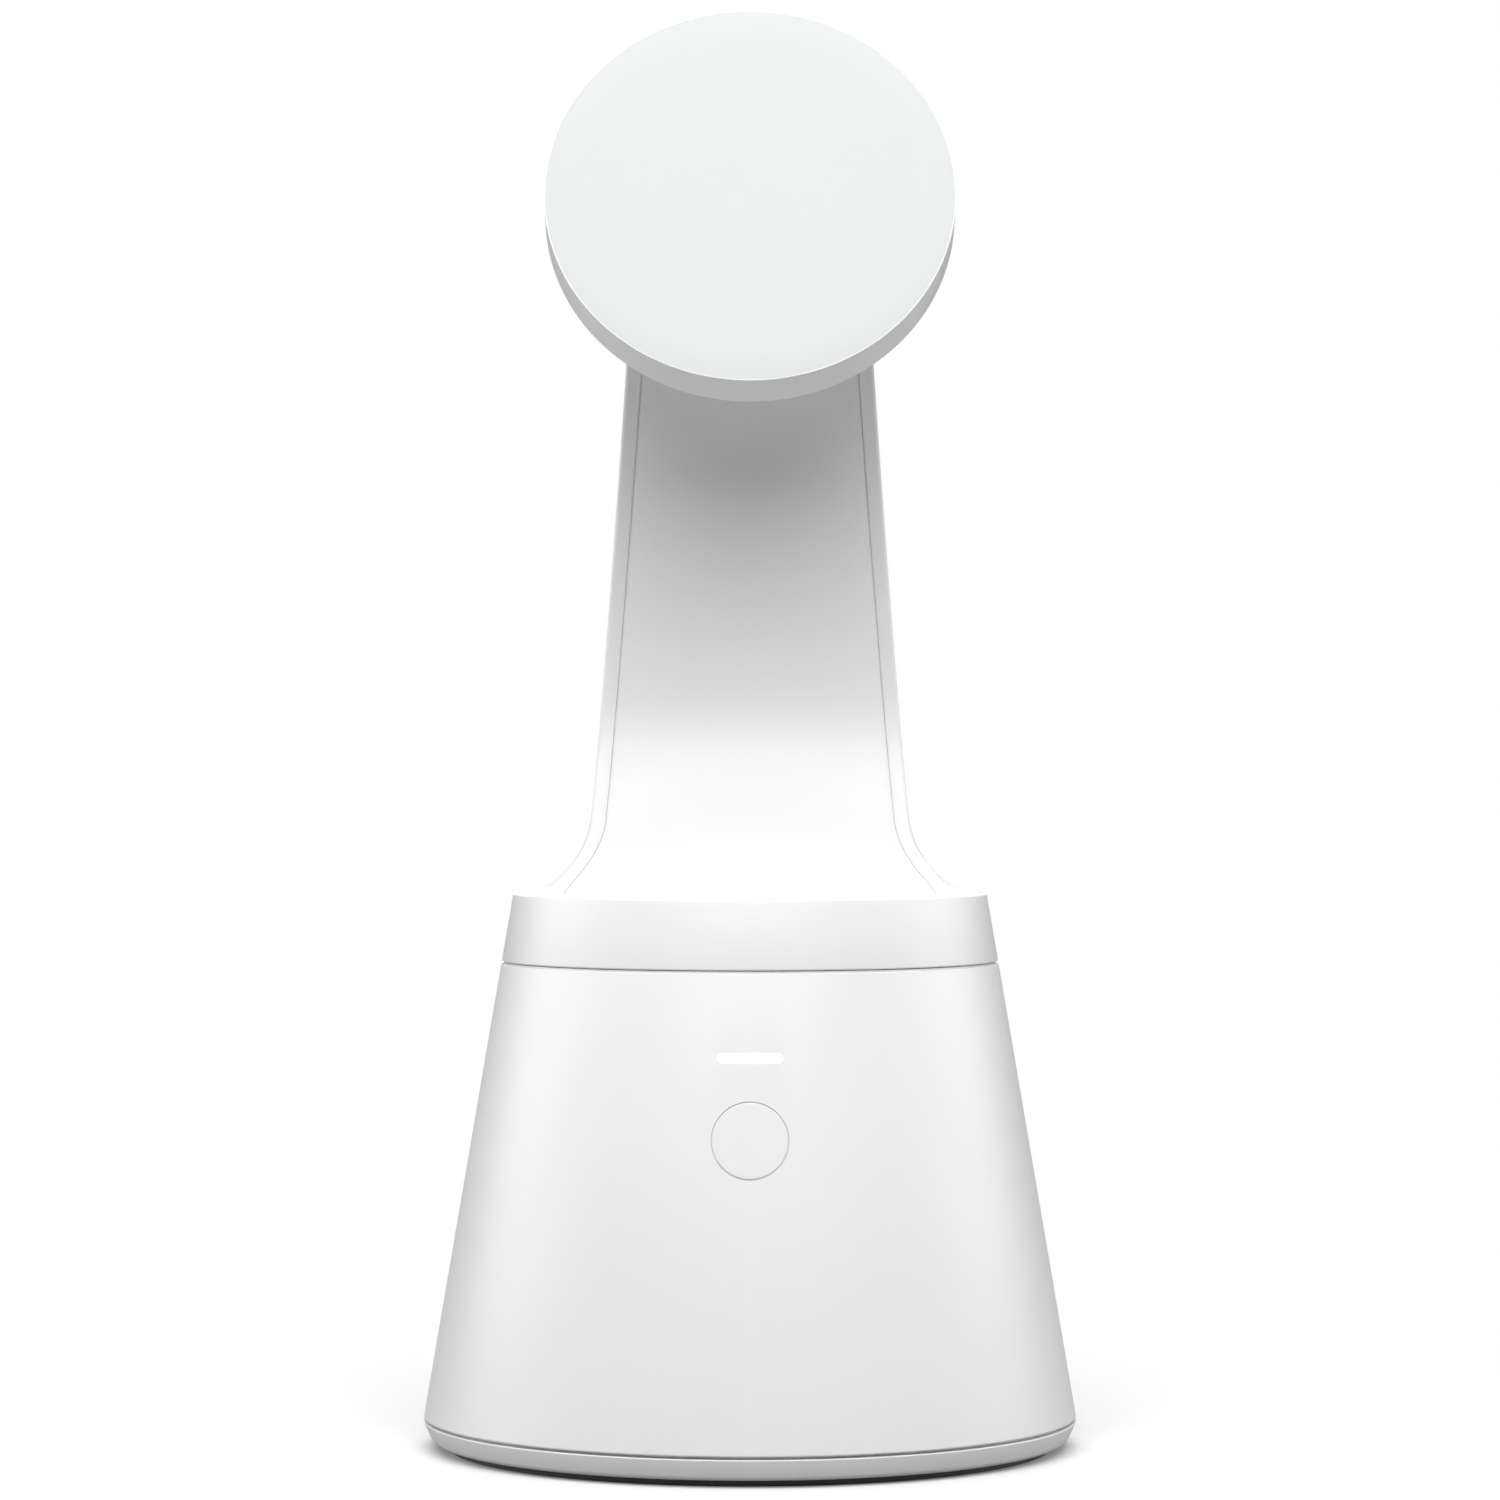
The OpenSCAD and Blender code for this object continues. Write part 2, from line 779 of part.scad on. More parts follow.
// Flat cable from the main board's front connector up to the front board
module ribbon_cable() {
    top = [-cone_r(button_z) + 12.1 * cos(cone_angle) - 8.6 * sin(cone_angle),
           button_z - 8.6 * cos(cone_angle) - 12.1 * sin(cone_angle)];
    foot = [-27, board_top + 2.05];
    half_t = 0.15;
    line = [for (i = [0:8])
        let (t = i / 8, s = t * t * (3 - 2 * t))
        [foot.x + (top.x - foot.x) * s, foot.y + (top.y - foot.y) * t]];
    color("khaki")
        rotate([90, 0, 90])
            linear_extrude(height = 8, center = true)
                polygon(concat(
                    [for (p = line) [p.x - half_t, p.y]],
                    [for (i = [8:-1:0]) [line[i].x + half_t, line[i].y]]));
}

module board_spacers() {
    color("silver")
    difference() {
        for (p = spacers)
            post(p, ballast_z1, board_z, 2.3);
        for (p = spacers)
            post(p, ballast_z1 - over, board_z + over, 1.1);
    }
}

module base_screws() {
    color("silver")
        for (c = columns)
            translate([c.x, c.y, floor_z0 + 1.35])
                mirror([0, 0, 1])
                    screw(1.15, 9.5, 2.5, 1.2);
}

module ballast_screws() {
    color("silver")
        for (p = posts)
            translate([p.x, p.y, ballast_z1])
                screw(1.1, 10, 2.4, 1.7);
}

module board_screws() {
    color("silver")
        for (p = spacers)
            translate([p.x, p.y, board_top])
                screw(1, 7, 2, 1.3);
    color("silver")
        on_front(button_z)
            for (p = front_posts)
                translate([p.x, p.y, -board_depth - board_t])
                    mirror([0, 0, 1])
                        screw(0.9, 5.5, 1.8, 1.2);
}

module chassis_screws() {
    color("silver")
        for (c = lugs)
            translate([c.x, c.y, chassis_z0])
                mirror([0, 0, 1])
                    screw(1.1, 6, 2.2, 1.6);
}

module motor_screws() {
    color("silver")
        for (p = motor_bolts())
            translate([p.x, p.y, chassis_z1])
                screw(0.9, 3.4, 1.8, 1.1);
}

// ---- Turret and arm ----

module turret_shell() {
    color("white")
    difference() {
        union() {
            difference() {
                cone_solid(collar_z0, deck_z);
                cone_solid(collar_z0 - over, deck_z - deck_t, 2);
            }
            intersection() {
                arm_solid(0, 0, 0);
                box(200, 200, deck_z - 2, tip_z + 20);
            }
            for (p = turret_bosses)
                post(p, flange_z1, deck_z - deck_t + over, 3);
        }
        // channel that the front panel closes
        intersection() {
            arm_solid(border_w, -3, skin, deck_r - 1.9);
            box(200, 200, deck_z - skin - 0.3, panel_top_z);
        }
        // hollow around the fork
        intersection() {
            arm_solid(border_w, skin, skin);
            box(200, 200, panel_top_z - over, tip_z + 20);
        }
        box(2 * spine_x + 0.6, 7.9, deck_z - deck_t - over, deck_z + over,
            [0, arm_face_y + tip_r]);
        knuckle_slot(fork_x);
        for (p = turret_bosses)
            post(p, flange_z1 - over, deck_z - deck_t + 0.8, 1.15);
    }
}

// Room for the disc's knuckle at the top of the arm
module knuckle_slot(half_x) {
    translate([-half_x, hinge_y - 20, hinge_z - tip_r - 0.7])
        cube([2 * half_x, 40, 40]);
}

module arm_front_panel() {
    color("white")
    difference() {
        intersection() {
            rotate([90, 0, 90])
                linear_extrude(height = 4 * deck_r, center = true)
                    polygon(concat(
                        [[-deck_r - 5, deck_z]],
                        arm_front(0),
                        [for (i = [len(arm_front(0)) - 1:-1:0]) arm_front(skin)[i]],
                        [[-deck_r - 5, deck_z - skin]]));
            rotate([90, 0, 0])
                linear_extrude(height = 4 * deck_r, center = true)
                    arm_outline(border_w + seam_gap);
            post([0, 0], deck_z - 20, panel_top_z - seam_gap, deck_r - 1.9 - seam_gap);
        }
    }
}

module arm_spine() {
    face_in = arm_face_y + spine_inset + 0.25;
    face_out = arm_face_y + arm_t - spine_inset - 0.25;
    color("lightgray")
    difference() {
        union() {
            intersection() {
                rotate([90, 0, 90])
                    linear_extrude(height = 2 * spine_x, center = true)
                        polygon(concat(
                            [[face_in, flange_z1]],
                            arc(sweep_c, sweep_r + spine_inset + 0.25, 0, sweep_end, 12),
                            arc(hinge, tip_r - spine_inset, sweep_end + 170, sweep_end + 10, 12),
                            arc(sweep_c, sweep_r + arm_t - spine_inset - 0.25, sweep_end, 0, 12),
                            [[face_out, flange_z1]]));
                rotate([90, 0, 0])
                    linear_extrude(height = 4 * deck_r, center = true)
                        arm_outline(border_w + clearance);
            }
            box(28, 25, flange_z1, flange_z1 + 3, [0, 12.5]);
        }
        knuckle_slot(fork_x + 0.1);
        for (z = [86, 107, 128, 147])
            box(13, 60, z, z + 14);
        translate([-20, hinge_y, hinge_z])
            rotate([0, 90, 0])
                cylinder(h = 40, r = bush_r + fit);
        for (p = spine_bolts)
            post(p, flange_z1 - over, flange_z1 + 3 + over, 1.15);
    }
}

module turret_hub() {
    color("whitesmoke")
    difference() {
        union() {
            post([0, 0], hub_z0, bearing_z0 + over, 9);
            post([0, 0], bearing_z0, bearing_z1, bearing_r[0] - fit);
            post([0, 0], bearing_z1, flange_z0 + over, bearing_r[1] - 0.2);
            post([0, 0], flange_z0, flange_z1, 28);
        }
        post([0, 0], hub_z0 + 3, flange_z1 + over, 6.5);
        post([0, 0], hub_z0 - over, hub_z0 + 2, 3 + fit);
        ring(55.85, 56.95, 8.3, 12);
        for (p = concat(turret_bosses, spine_bolts)) {
            post(p, flange_z0 - over, flange_z1 + over, 1.25);
            translate([p.x, p.y, flange_z0 - 0.05])
                cylinder(h = 1.35, r1 = 2.6, r2 = 1.25);
        }
    }
}

module main_gear() {
    color("wheat")
    difference() {
        union() {
            rotate([0, 0, idler_dir])
                spur_gear(main_teeth, main_gear_z[0], main_gear_z[1], 8);
            post([0, 0], main_gear_z[1] - over, bearing_z0, 11.6);
        }
        post([0, 0], main_gear_z[0] - over, bearing_z0 + over, 9 + fit);
    }
}

module retaining_ring() {
    color("silver")
    difference() {
        ring(55.9, 56.9, 8.35, 10.2);
        box(4, 8, 55, 58, [0, -10]);
    }
}

module sensor_magnet() {
    color("gray")
        post([0, 0], hub_z0, hub_z0 + 2, 3);
}

module hinge_bushes() {
    color("goldenrod")
        for (s = [-1, 1])
            translate([s * (fork_x + bush_end) / 2, hinge_y, hinge_z])
                rotate([0, 90, 0])
                    difference() {
                        cylinder(h = bush_end - fork_x - 0.2, r = bush_r, center = true);
                        cylinder(h = 10, r = pin_r + run_fit, center = true);
                    }
}

module hinge_washers() {
    color("silver")
        for (s = [-1, 1])
            translate([s * (fork_x - washer_t / 2), hinge_y, hinge_z])
                rotate([0, 90, 0])
                    difference() {
                        cylinder(h = washer_t, r = 4.4, center = true);
                        cylinder(h = 2, r = pin_r + run_fit, center = true);
                    }
}

module turret_screws() {
    color("silver")
        for (p = turret_bosses)
            translate([p.x, p.y, flange_z0 + 0.05])
                mirror([0, 0, 1])
                    flat_screw(1.1, 6.4, 2.3);
}

module spine_screws() {
    color("silver")
        for (p = spine_bolts)
            translate([p.x, p.y, flange_z0 + 0.05])
                mirror([0, 0, 1])
                    flat_screw(1.1, 5.2, 2.3);
}

// ---- Head ----

module face_pad() {
    color("whitesmoke")
        on_disc()
            translate([0, 0, -pad_t])
                cylinder(h = pad_t, r = pad_r - 0.05);
}

module head_housing() {
    color("white")
    on_disc()
    difference() {
        translate([0, 0, -disc_t])
            cylinder(h = disc_t, r = disc_r);
        translate([0, 0, -pad_t])
            cylinder(h = pad_t + over, r = pad_r);
        translate([0, 0, -disc_t + back_wall])
            cylinder(h = disc_t, r = hollow_r);
        translate([-knuckle_x - 0.2, -3.6, -disc_t - over])
            cube([2 * knuckle_x + 0.4, 7.2, 4]);
        for (a = [45:90:315])
            translate([10.5 * cos(a), 10.5 * sin(a), -disc_t + 0.5])
                cylinder(h = 3, r = 1.05);
    }
}

module magnet_ring() {
    pieces = 18;
    color("silver")
    on_disc()
        for (k = [0:pieces - 1])
            rotate([0, 0, 360 * k / pieces])
                translate([0, 0, -pad_t - 2.2])
                    rotate_extrude(angle = 360 / pieces - 1)
                        translate([22.6, 0])
                            square([3.8, 2]);
}

module backing_yoke() {
    color("silver")
    on_disc()
        ring(-pad_t - 3.1, -pad_t - 2.2, 22.3, 26.6);
}

module magnet_carrier() {
    z1 = -pad_t - 3.1;
    color("gainsboro")
    on_disc() {
        difference() {
            ring(-disc_t + back_wall, z1, 15.5, 26.7);
            for (k = [0:5])
                rotate([0, 0, 60 * k])
                    post([19, 0], -disc_t, z1 + over, 2.2);
        }
        ring(z1 - 0.2, -pad_t - 0.2, 20.8, 22.1);
    }
}

module head_bracket() {
    z0 = -disc_t + back_wall;
    color("silver")
    on_disc()
    difference() {
        union() {
            translate([0, 0, z0])
                cylinder(h = 1.8, r = 14);
            translate([-knuckle_x, -3.3, -disc_t - hinge_gap])
                cube([2 * knuckle_x, 6.6, hinge_gap + back_wall + over]);
            translate([0, 0, -disc_t - hinge_gap])
                rotate([0, 90, 0])
                    cylinder(h = 2 * knuckle_x, r = 5.1, center = true);
        }
        translate([0, 0, -disc_t - hinge_gap])
            rotate([0, 90, 0])
                cylinder(h = 40, r = pin_r + 0.01, center = true);
        for (a = [45:90:315])
            translate([10.5 * cos(a), 10.5 * sin(a), z0 - over])
                cylinder(h = 4, r = 1.2);
    }
}

module hinge_pin() {
    color("silver")
    on_disc()
        translate([0, 0, -disc_t - hinge_gap])
            rotate([0, 90, 0])
                cylinder(h = 2 * spine_x - 0.6, r = pin_r, center = true);
}

module head_screws() {
    color("silver")
    on_disc()
        for (a = [45:90:315])
            translate([10.5 * cos(a), 10.5 * sin(a), -disc_t + back_wall + 1.8])
                screw(1, 2.8, 1.9, 1.2);
}

// ---- Moving pieces in the base ----

module power_button() {
    color("white")
    intersection() {
        on_front(button_z) {
            translate([0, 0, -3.4])
                cylinder(h = 6, r = button_r);
            translate([0, 0, -4.2])
                cylinder(h = 0.8, r = button_r + 1.1);
            translate([0, 0, -5])
                cylinder(h = 1, r = 1.3);
        }
        cone_solid(shell_z0, shell_z1);
    }
}

module switch_plunger() {
    color("gray")
    on_front(button_z)
        translate([0, 0, -board_depth + 1.2 + button_travel + 0.2])
            cylinder(h = board_depth - 6.2 - 1.2 - button_travel + 1, r = 1.75);
}

module battery_door() {
    z1 = floor_z1 - 0.8 - clearance;
    color("white")
    difference() {
        intersection() {
            box(door_seat.x - 2 * clearance, door_seat.y - 2 * clearance, floor_z0 + 0.1, z1);
            post([0, 0], floor_z0, z1, door_r);
        }
        for (k = [0:3])
            box(14, 0.7, floor_z0 - over, floor_z0 + 0.4, [0, 16 + 1.5 * k]);
    }
}

module motor_rotor() {
    color("silver") {
        post(motor_at, motor_z0 + 0.6, 56, 1);
        post(motor_at, motor_z0 + 3.3, chassis_z0 - 3.7, motor_r - 4.1);
    }
}

module pinion_gear() {
    color("goldenrod")
        translate([motor_at.x, motor_at.y, 0])
            rotate([0, 0, mesh_dir + 180 + 180 / pinion_teeth])
                spur_gear(pinion_teeth, wheel_z[0] - 0.1, wheel_z[1] + 0.4, 1 + fit / 2);
}

module idler_gear() {
    color("wheat")
        translate([idler_at.x, idler_at.y, 0]) {
            rotate([0, 0, mesh_dir])
                spur_gear(wheel_teeth, wheel_z[0], wheel_z[1], 1 + run_fit);
            rotate([0, 0, idler_dir + 180 + 180 / pinion_teeth])
                spur_gear(pinion_teeth, wheel_z[1], main_gear_z[1] + 0.2, 1 + run_fit);
        }
}

base_shell();
bottom_plate();
foot_ring();
ballast_plate();
battery_box();
battery_1();
battery_2();
battery_3();
battery_springs();
battery_plates();
chassis();
motor_can();
motor_windings();
idler_axle();
main_board();
board_parts();
radio_module();
front_board();
tact_switch();
status_leds();
light_bar();
power_inlet();
bearing_outer_ring();
bearing_balls();
bearing_cage();
sensor_board();
internal_leads();
ribbon_cable();
board_spacers();
base_screws();
ballast_screws();
board_screws();
chassis_screws();
motor_screws();
turret_shell();
arm_front_panel();
arm_spine();
turret_hub();
main_gear();
retaining_ring();
bearing_inner_ring();
sensor_magnet();
hinge_bushes();
hinge_washers();
turret_screws();
spine_screws();
face_pad();
head_housing();
magnet_ring();
backing_yoke();
magnet_carrier();
head_bracket();
hinge_pin();
head_screws();
power_button();
switch_plunger();
battery_door();
motor_rotor();
pinion_gear();
idler_gear();
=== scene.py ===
"""Looks of a motorised magnetic phone mount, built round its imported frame.

Metres, +Z up, the front faces -Y. The visible shells are rebuilt as finely rounded
meshes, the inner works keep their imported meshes, and every piece gets its own finish.
"""
import json
import logging
import math
from dataclasses import dataclass, field
from enum import Enum

import bmesh
import bpy
from mathutils import Matrix, Vector


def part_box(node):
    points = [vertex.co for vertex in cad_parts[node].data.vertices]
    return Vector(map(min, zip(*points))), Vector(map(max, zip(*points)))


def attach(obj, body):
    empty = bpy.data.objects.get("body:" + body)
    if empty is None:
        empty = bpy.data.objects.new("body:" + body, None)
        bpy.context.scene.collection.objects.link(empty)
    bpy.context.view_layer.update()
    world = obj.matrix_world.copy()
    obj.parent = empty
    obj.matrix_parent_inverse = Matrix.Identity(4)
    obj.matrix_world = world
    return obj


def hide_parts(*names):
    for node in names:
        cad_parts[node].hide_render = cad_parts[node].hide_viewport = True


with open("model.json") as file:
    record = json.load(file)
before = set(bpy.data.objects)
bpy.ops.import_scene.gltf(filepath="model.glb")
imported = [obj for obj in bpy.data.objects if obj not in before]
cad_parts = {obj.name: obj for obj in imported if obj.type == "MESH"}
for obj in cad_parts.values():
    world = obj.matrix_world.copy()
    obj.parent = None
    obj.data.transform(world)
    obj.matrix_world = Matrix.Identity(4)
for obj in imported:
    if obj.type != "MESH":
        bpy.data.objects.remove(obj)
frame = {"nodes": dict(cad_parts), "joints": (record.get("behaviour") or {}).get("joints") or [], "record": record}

MM = 0.001
SHARP = 32.0
log = logging.getLogger("phone_mount")

Point = tuple[float, float]
Triple = tuple[float, float, float]
Colour = Triple
Piece = bpy.types.Object
Node = bpy.types.Node
Tree = bpy.types.NodeTree
Link = bpy.types.NodeSocket
Inputs = dict[str | int, object]


# ---------------------------------------------------------------- outlines

def arc(centre: Point, radius: float, start: float, end: float, steps: int) -> list[Point]:
    """Points along a circular arc.

    Args:
        centre: Middle of the circle.
        radius: Its radius.
        start: First angle in degrees.
        end: Last angle in degrees.
        steps: Number of stretches between the points.

    Returns:
        steps + 1 points, from start to end.
    """
    angles = [math.radians(start + (end - start) * i / steps) for i in range(steps + 1)]
    return [(centre[0] + radius * math.cos(a), centre[1] + radius * math.sin(a)) for a in angles]


def rounded(corners: list[Triple], steps: int = 5) -> list[Point]:
    """A closed outline whose corners are rounded.

    Args:
        corners: Each corner as its two coordinates and its rounding radius.
        steps: Stretches in each rounding.

    Returns:
        The points of the outline.
    """
    outline: list[Point] = []
    count = len(corners)
    for i, (x, y, radius) in enumerate(corners):
        here = Vector((x, y))
        if radius <= 0:
            outline.append((x, y))
            continue
        back = (Vector(corners[i - 1][:2]) - here).normalized()
        on = (Vector(corners[(i + 1) % count][:2]) - here).normalized()
        half = math.acos(max(-1.0, min(1.0, back.dot(on)))) / 2
        centre = here + (back + on).normalized() * (radius / math.sin(half))
        first = here + back * (radius / math.tan(half)) - centre
        last = here + on * (radius / math.tan(half)) - centre
        turn = first.angle_signed(last)
        for k in range(steps + 1):
            a = -turn * k / steps
            c, s = math.cos(a), math.sin(a)
            outline.append((centre.x + first.x * c - first.y * s,
                            centre.y + first.x * s + first.y * c))
    return outline


def rounded_box(low: Point, high: Point, radius: float, steps: int = 5) -> list[Point]:
    """A rectangle between two corners, with its corners rounded.

    Args:
        low: Corner with the lower coordinates.
        high: The other corner.
        radius: Rounding radius.
        steps: Stretches in each rounding.

    Returns:
        The points of the outline.
    """
    (x0, y0), (x1, y1) = low, high
    return rounded([(x0, y0, radius), (x1, y0, radius), (x1, y1, radius), (x0, y1, radius)], steps)


def smooth_step(value: float) -> float:
    """The usual 0 to 1 ease of a value, held to that range.

    Args:
        value: Any number.

    Returns:
        Its eased value.
    """
    t = max(0.0, min(1.0, value))
    return t * t * (3 - 2 * t)


# ---------------------------------------------------------------- meshes

@dataclass
class Skin:
    """Points and faces of a mesh while it is being made."""

    points: list[Vector] = field(default_factory=list)
    faces: list[tuple[int, ...]] = field(default_factory=list)

    def rows(self, rows: list[list[Vector]], closed: bool = True) -> list[list[int]]:
        """Join rows of points into a sheet of quads.

        Args:
            rows: Rows with the same number of points.
            closed: Whether each row runs round to its first point.

        Returns:
            The index of each point, row by row.
        """
        index = []
        for row in rows:
            start = len(self.points)
            self.points.extend(v.copy() for v in row)
            index.append(list(range(start, start + len(row))))
        for low, high in zip(index, index[1:]):
            count = len(low)
            for k in range(count if closed else count - 1):
                n = (k + 1) % count
                self.faces.append((low[k], low[n], high[n], high[k]))
        return index

    def cap(self, ring: list[int]) -> None:
        """Close a ring of points with one face."""
        self.faces.append(tuple(ring))

    def turned(self, outline: list[Point], segments: int = 192) -> "Skin":
        """Turn a closed outline of (radius, height) round +Z.

        Args:
            outline: The outline, in metres.
            segments: Number of steps in the turn.

        Returns:
            This skin, with the turned shape added.
        """
        rows = []
        for k in range(segments):
            a = 2 * math.pi * k / segments
            c, s = math.cos(a), math.sin(a)
            rows.append([Vector((r * c, r * s, z)) for r, z in outline])
        rows.append(rows[0])
        self.rows(rows)
        return self

    def prism(self, outline: list[Point], low: float, high: float) -> "Skin":
        """A straight prism on an outline in X and Y, between two heights.

        Args:
            outline: The outline, in metres.
            low: Height of its foot.
            high: Height of its top.

        Returns:
            This skin, with the prism added.
        """
        rows = [[Vector((x, y, z)) for x, y in outline] for z in (low, high)]
        index = self.rows(rows)
        self.cap(index[0][::-1])
        self.cap(index[1])
        return self

    def moved(self, place: Matrix) -> "Skin":
        """This skin with every point carried by a matrix."""
        self.points = [place @ p for p in self.points]
        return self

    def mesh(self, name: str) -> bpy.types.Mesh:
        """The finished mesh, with doubles merged and faces outwards.

        Args:
            name: Name of the mesh.

        Returns:
            A mesh without materials.
        """
        mesh = bpy.data.meshes.new(name)
        mesh.from_pydata([tuple(p) for p in self.points], [], self.faces)
        work = bmesh.new()
        work.from_mesh(mesh)
        bmesh.ops.remove_doubles(work, verts=work.verts, dist=1e-6)
        bmesh.ops.dissolve_degenerate(work, edges=work.edges, dist=1e-7)
        bmesh.ops.recalc_face_normals(work, faces=work.faces)
        work.to_mesh(mesh)
        work.free()
        return mesh


def make_piece(name: str, skin: Skin, finish: "Finish", sharp: float = SHARP) -> Piece:
    """Make an object from a skin, smooth but for its sharp edges.

    Args:
        name: Name of the piece.
        skin: Its points and faces, in place.
        finish: Its finish.
        sharp: Angle in degrees past which an edge stays sharp.

    Returns:
        The object, at the origin.
    """
    piece = bpy.data.objects.new(name, skin.mesh(name))
    bpy.context.scene.collection.objects.link(piece)
    soften(piece, sharp)
    piece.data.materials.append(finish.material())
    return piece


def soften(piece: Piece, sharp: float) -> None:
    """Shade a piece smooth, and keep edges sharper than an angle in degrees."""
    piece.data.shade_smooth()
    piece.data.set_sharp_from_angle(angle=math.radians(sharp))


def plain_mesh(piece: Piece) -> None:
    """Replace a piece's mesh by its evaluated one, and drop its modifiers.

    Args:
        piece: The piece.
    """
    bpy.context.view_layer.update()
    seen = piece.evaluated_get(bpy.context.evaluated_depsgraph_get())
    mesh = bpy.data.meshes.new_from_object(seen)
    piece.modifiers.clear()
    piece.data = mesh


def carve(piece: Piece, cutters: list[Skin], sharp: float = SHARP) -> None:
    """Cut shapes out of a piece.

    Args:
        piece: The piece to cut.
        cutters: Closed skins of what goes.
        sharp: Angle in degrees past which an edge stays sharp.
    """
    tools = []
    for cutter in cutters:
        tool = bpy.data.objects.new("cutter", cutter.mesh("cutter"))
        bpy.context.scene.collection.objects.link(tool)
        cut = piece.modifiers.new("cut", "BOOLEAN")
        cut.operation = "DIFFERENCE"
        cut.solver = "EXACT"
        cut.object = tool
        tools.append(tool)
    plain_mesh(piece)
    for tool in tools:
        bpy.data.objects.remove(tool)
    soften(piece, sharp)


def joined(main: Piece, other: Piece) -> Piece:
    """Put a second piece's mesh into the first, and drop the second.

    Args:
        main: The piece that stays.
        other: The piece that goes.

    Returns:
        The first piece.
    """
    work = bmesh.new()
    work.from_mesh(main.data)
    work.from_mesh(other.data)
    work.to_mesh(main.data)
    work.free()
    bpy.data.objects.remove(other)
    return main


# ---------------------------------------------------------------- shader groups

class Socket(Enum):
    """Kinds of socket that a node group can have."""

    NUMBER = "NodeSocketFloat"
    VECTOR = "NodeSocketVector"
    COUNT = "NodeSocketInt"
    SHAPE = "NodeSocketGeometry"
    FINISH = "NodeSocketMaterial"


def add_sockets(tree: Tree, inputs: dict[str, Socket],
                outputs: dict[str, Socket]) -> tuple[Node, Node]:
    """Give a node group its sockets.

    Args:
        tree: The group.
        inputs: Name and kind of each input.
        outputs: Name and kind of each output.

    Returns:
        Its input node and its output node.
    """
    for name, kind in inputs.items():
        tree.interface.new_socket(name, in_out="INPUT", socket_type=kind.value)
    for name, kind in outputs.items():
        tree.interface.new_socket(name, in_out="OUTPUT", socket_type=kind.value)
    return tree.nodes.new("NodeGroupInput"), tree.nodes.new("NodeGroupOutput")


def feed(tree: Tree, node: Node, inputs: Inputs) -> None:
    """Link or set some of a node's inputs.

    Args:
        tree: The tree it is in.
        node: The node.
        inputs: Socket or constant for each input, by its name or number.
    """
    for key, value in inputs.items():
        if isinstance(value, Link):
            tree.links.new(value, node.inputs[key])
        else:
            node.inputs[key].default_value = value


def add_node(tree: Tree, kind: str, inputs: Inputs | None = None,
             **settings: object) -> Node:
    """Add a node with its settings and inputs.

    Args:
        tree: The tree it goes in.
        kind: Its type, as Blender names it.
        inputs: Socket or constant for each input, by its name or number.
        settings: Value of each of its own properties.

    Returns:
        The node.
    """
    node = tree.nodes.new(kind)
    for name, value in settings.items():
        setattr(node, name, value)
    feed(tree, node, inputs or {})
    return node


def math_node(tree: Tree, operation: str, *values: object) -> Link:
    """A Math node's output, from sockets or numbers."""
    return add_node(tree, "ShaderNodeMath", dict(enumerate(values)), operation=operation).outputs[0]


def noise_node(tree: Tree, vector: Link, scale: object,
               detail: float) -> Link:
    """A Noise Texture's value, from coordinates, a scale and its octaves."""
    return add_node(tree, "ShaderNodeTexNoise",
                    {"Vector": vector, "Scale": scale, "Detail": detail}).outputs["Fac"]


